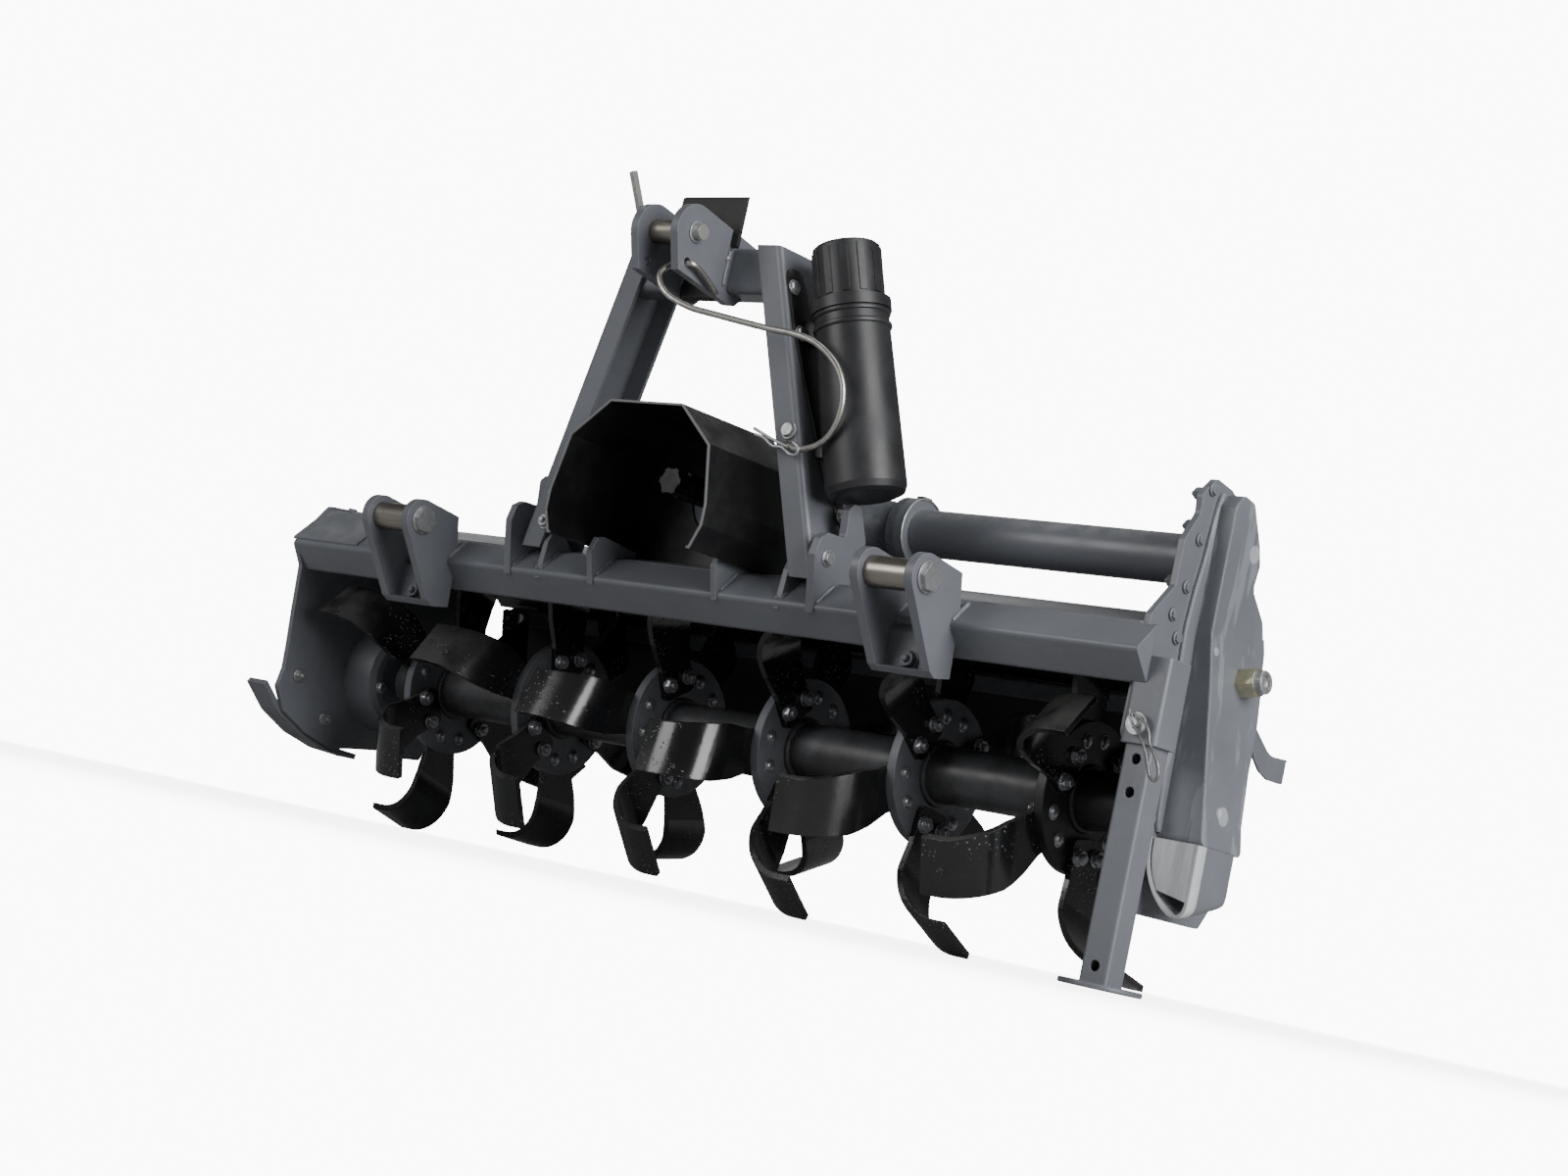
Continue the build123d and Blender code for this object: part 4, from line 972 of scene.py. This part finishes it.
def makeShoe():
    # Across the machine the trough is a smooth U. Going back, its keel lifts and its sides stay
    # where they are.
    rim = curve([(x, 0, z) for x, z in shoe["rim"]], 60)[:, (0, 2)]
    along = np.gradient(rim, axis=0)
    inward = (np.stack([along[:, 1], -along[:, 0]], 1)
              / -np.linalg.norm(along, axis=1, keepdims=True))
    y = np.linspace(shoe["front"], shoe["back"], 24)
    back = (y - shoe["front"]) / (shoe["back"] - shoe["front"])
    faces = []
    for half in (-0.5, 0.5):
        skin = rim + inward * half * shoe["sheet"]
        depth = np.clip((shoe["top"] - skin[:, 1:]) / shoe["depth"], 0, 1) ** 1.5
        z = skin[:, 1:] + shoe["rise"] * back ** 1.2 * depth
        faces.append(surfaceAt(np.stack([np.broadcast_to(skin[:, :1], z.shape),
                                         np.broadcast_to(y, z.shape), z], -1)))
    trough = bentSheet(*faces)
    height = np.linspace(shoe["top"], shoe["plateFoot"], 30)
    downLeft = rim[:26]  # the points of the rim that run down its left side
    leftRim = np.interp(-height, -downLeft[:, 1], downLeft[:, 0])
    plateAt = np.full(len(height), shoe["plateAt"])
    low = np.stack([leftRim + shoe["inset"], plateAt, height], 1)
    high = np.stack([np.full(len(height), shoe["plateRight"]), plateAt,
                     height - shoe["plateDrop"] * (shoe["top"] - height)], 1)
    plate = sheetBetween(at(low), at(high), shoe["plate"], (0, -1, 0))
    leftEdge, rightEdge, top = shoe["lid"]
    lid = sheetBetween(*[at([(x, row, top) for row in shoe["lidRows"]])
                         for x in (leftEdge, rightEdge)], shoe["lidDepth"], (0, 0, -1))
    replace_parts(makePiece("shoe_trough", "frame", "shoe", [trough, plate, lid],
                          sharp=40), "right_shoe")


makeShoe()
print("shoe and liner made")


# Parking stand: the hairpin through the end of its locking pin, and the collar behind it
stand = {"wire": 1.7, "collar": (12.5, 6.0, 3.2), "collarAt": (706.5, 81.0, 282),
         "hairpin": ((699, 74, 296), (702, 73, 288), (707, 72, 281), (714, 72, 274),
                     (722, 73, 264), (729, 74, 251), (734, 75, 238), (738, 76, 228),
                     (744, 77, 225), (747, 77, 232), (744, 76, 243), (737, 75, 254),
                     (731, 74, 263), (729, 73, 272), (724, 72, 281), (715, 72, 288),
                     (706, 72, 292))}


def makeStandClip():
    pin = swept(curve(at(stand["hairpin"]), 150), stand["wire"] * mm, 10)
    makePiece("stand_hairpin", "frame", "wire", [pin])
    makePiece("stand_pin_collar", "frame", "zinc",
              [placed(ring(*stand["collar"]), at(stand["collarAt"]), (0, -1, 0))])


makeStandClip()


# Gearbox: the lid's bolts, a breather, and the bolts of its left cover
gearbox = {"lid": 566.0, "lidX": 38, "lidY": 36, "middle": 245, "capX": -82, "capZ": 491,
           "capCircle": 45, "breatherAt": (14, 237),
           "breather": ((10, 0), (10, 5), (6, 6), (6, 11), (9, 12), (9, 20), (7, 23), (3, 24.5))}


def makeGearboxHardware():
    corners = at([(sx * gearbox["lidX"], gearbox["middle"] + sy * gearbox["lidY"], gearbox["lid"])
                  for sx in (-1, 1) for sy in (-1, 1)])
    turn = np.radians(np.arange(6) * 60 + 30)
    cap = at([(gearbox["capX"], gearbox["middle"] + gearbox["capCircle"] * math.cos(t),
               gearbox["capZ"] + gearbox["capCircle"] * math.sin(t)) for t in turn])
    parts = [placed(hexHead("lid"), corners, (0, 0, 1), np.arange(4) * 0.5),
             placed(hexHead("cover"), cap, (-1, 0, 0), np.arange(6) * 0.3)]
    makePiece("gearbox_bolts", "frame", "zinc", parts)
    spot = at((*gearbox["breatherAt"], gearbox["lid"]))
    makePiece("gearbox_breather", "frame", "black",
              [placed(turned(gearbox["breather"], 28), spot, (0, 0, 1))])


makeGearboxHardware()
print("stand and gearbox hardware made")


# Weld beads where the plates meet the beam and the top link plates meet the crossbar. Each row
# has its places across the machine, the y and z of the bead's two ends, and its radius.
beads = {"bracket": ((368.0, 380.0, 445.0, 457.0), (60, 363), (86, 389), 3.0),
         "lug": ((248, 259, 197.1, 205.1), (60, 363), (88, 391), 2.6),
         "gusset": ((100, 108), (62, 365), (88, 391), 2.4),
         "topLink": ((27, 39), (25.4, 733), (25.4, 779), 2.6)}


def makeFrameWelds():
    laid = [weld((side * x, *start), (side * x, *end), radius)
            for side in (-1, 1) for places, start, end, radius in beads.values() for x in places]
    makePiece("frame_welds", "frame", "weld", laid, sharp=60)


makeFrameWelds()
print("welds made")


makeCamera()
for lamp in studio["lamps"]:
    makeLamp(*lamp)
print("camera and lamps set")


def makeStage():
    # A wide pale floor that turns into the backdrop's own brightness with distance, so no horizon
    # shows. The backdrop and the floor light the machine less than they show.
    paint = Finish("floor_pale")
    shade = studio["floorShade"]
    cloud = paint.noise(0.8, 2, 0.5)
    away = paint.add("VectorMath", {"operation": "LENGTH"}, (paint.place,), out="Value")
    far = away.between(studio["fadeFrom"], studio["fadeTo"])
    near = paint.mix(cloud, (shade, shade, shade), (shade * 0.97, shade * 0.97, shade * 0.975))
    paint.set(color=paint.mix(far, near, (0, 0, 0)), roughness=0.75, specular=0.0)
    seen = paint.add("LightPath", out="Is Camera Ray")
    glow = [studio["backdrop"] * c for c in studio["sky"]]
    fill = [studio["fill"] * c for c in studio["sky"]]
    shown = studio["nearGlow"] + (1 - studio["nearGlow"]) * far
    given = paint.mix(far, (0, 0, 0), fill)
    paint.feed(paint.shader.inputs["Emission Color"],
               paint.mix(seen, given, paint.mix(shown, (0, 0, 0), glow)))
    paint.shader.inputs["Emission Strength"].default_value = 1
    size = studio["floor"]
    mesh = bpy.data.meshes.new("floor")
    corners = [(-size, -size, 0), (size, -size, 0), (size, size, 0), (-size, size, 0)]
    mesh.from_pydata(corners, [], [(0, 1, 2, 3)])
    mesh.materials.append(paint.material)
    floor = bpy.data.objects.new("floor", mesh)
    bpy.context.scene.collection.objects.link(floor)
    world = bpy.data.worlds.new("studio")
    bpy.context.scene.world = world
    world.use_nodes = True
    nodes, links = world.node_tree.nodes, world.node_tree.links
    path = nodes.new("ShaderNodeLightPath")
    strength = nodes.new("ShaderNodeMapRange")
    strength.inputs["To Min"].default_value = studio["ambient"]
    strength.inputs["To Max"].default_value = studio["backdrop"]
    links.new(path.outputs["Is Camera Ray"], strength.inputs["Value"])
    links.new(strength.outputs[0], nodes["Background"].inputs["Strength"])
    nodes["Background"].inputs["Color"].default_value = (*studio["sky"], 1)


makeStage()
print("scene ready")
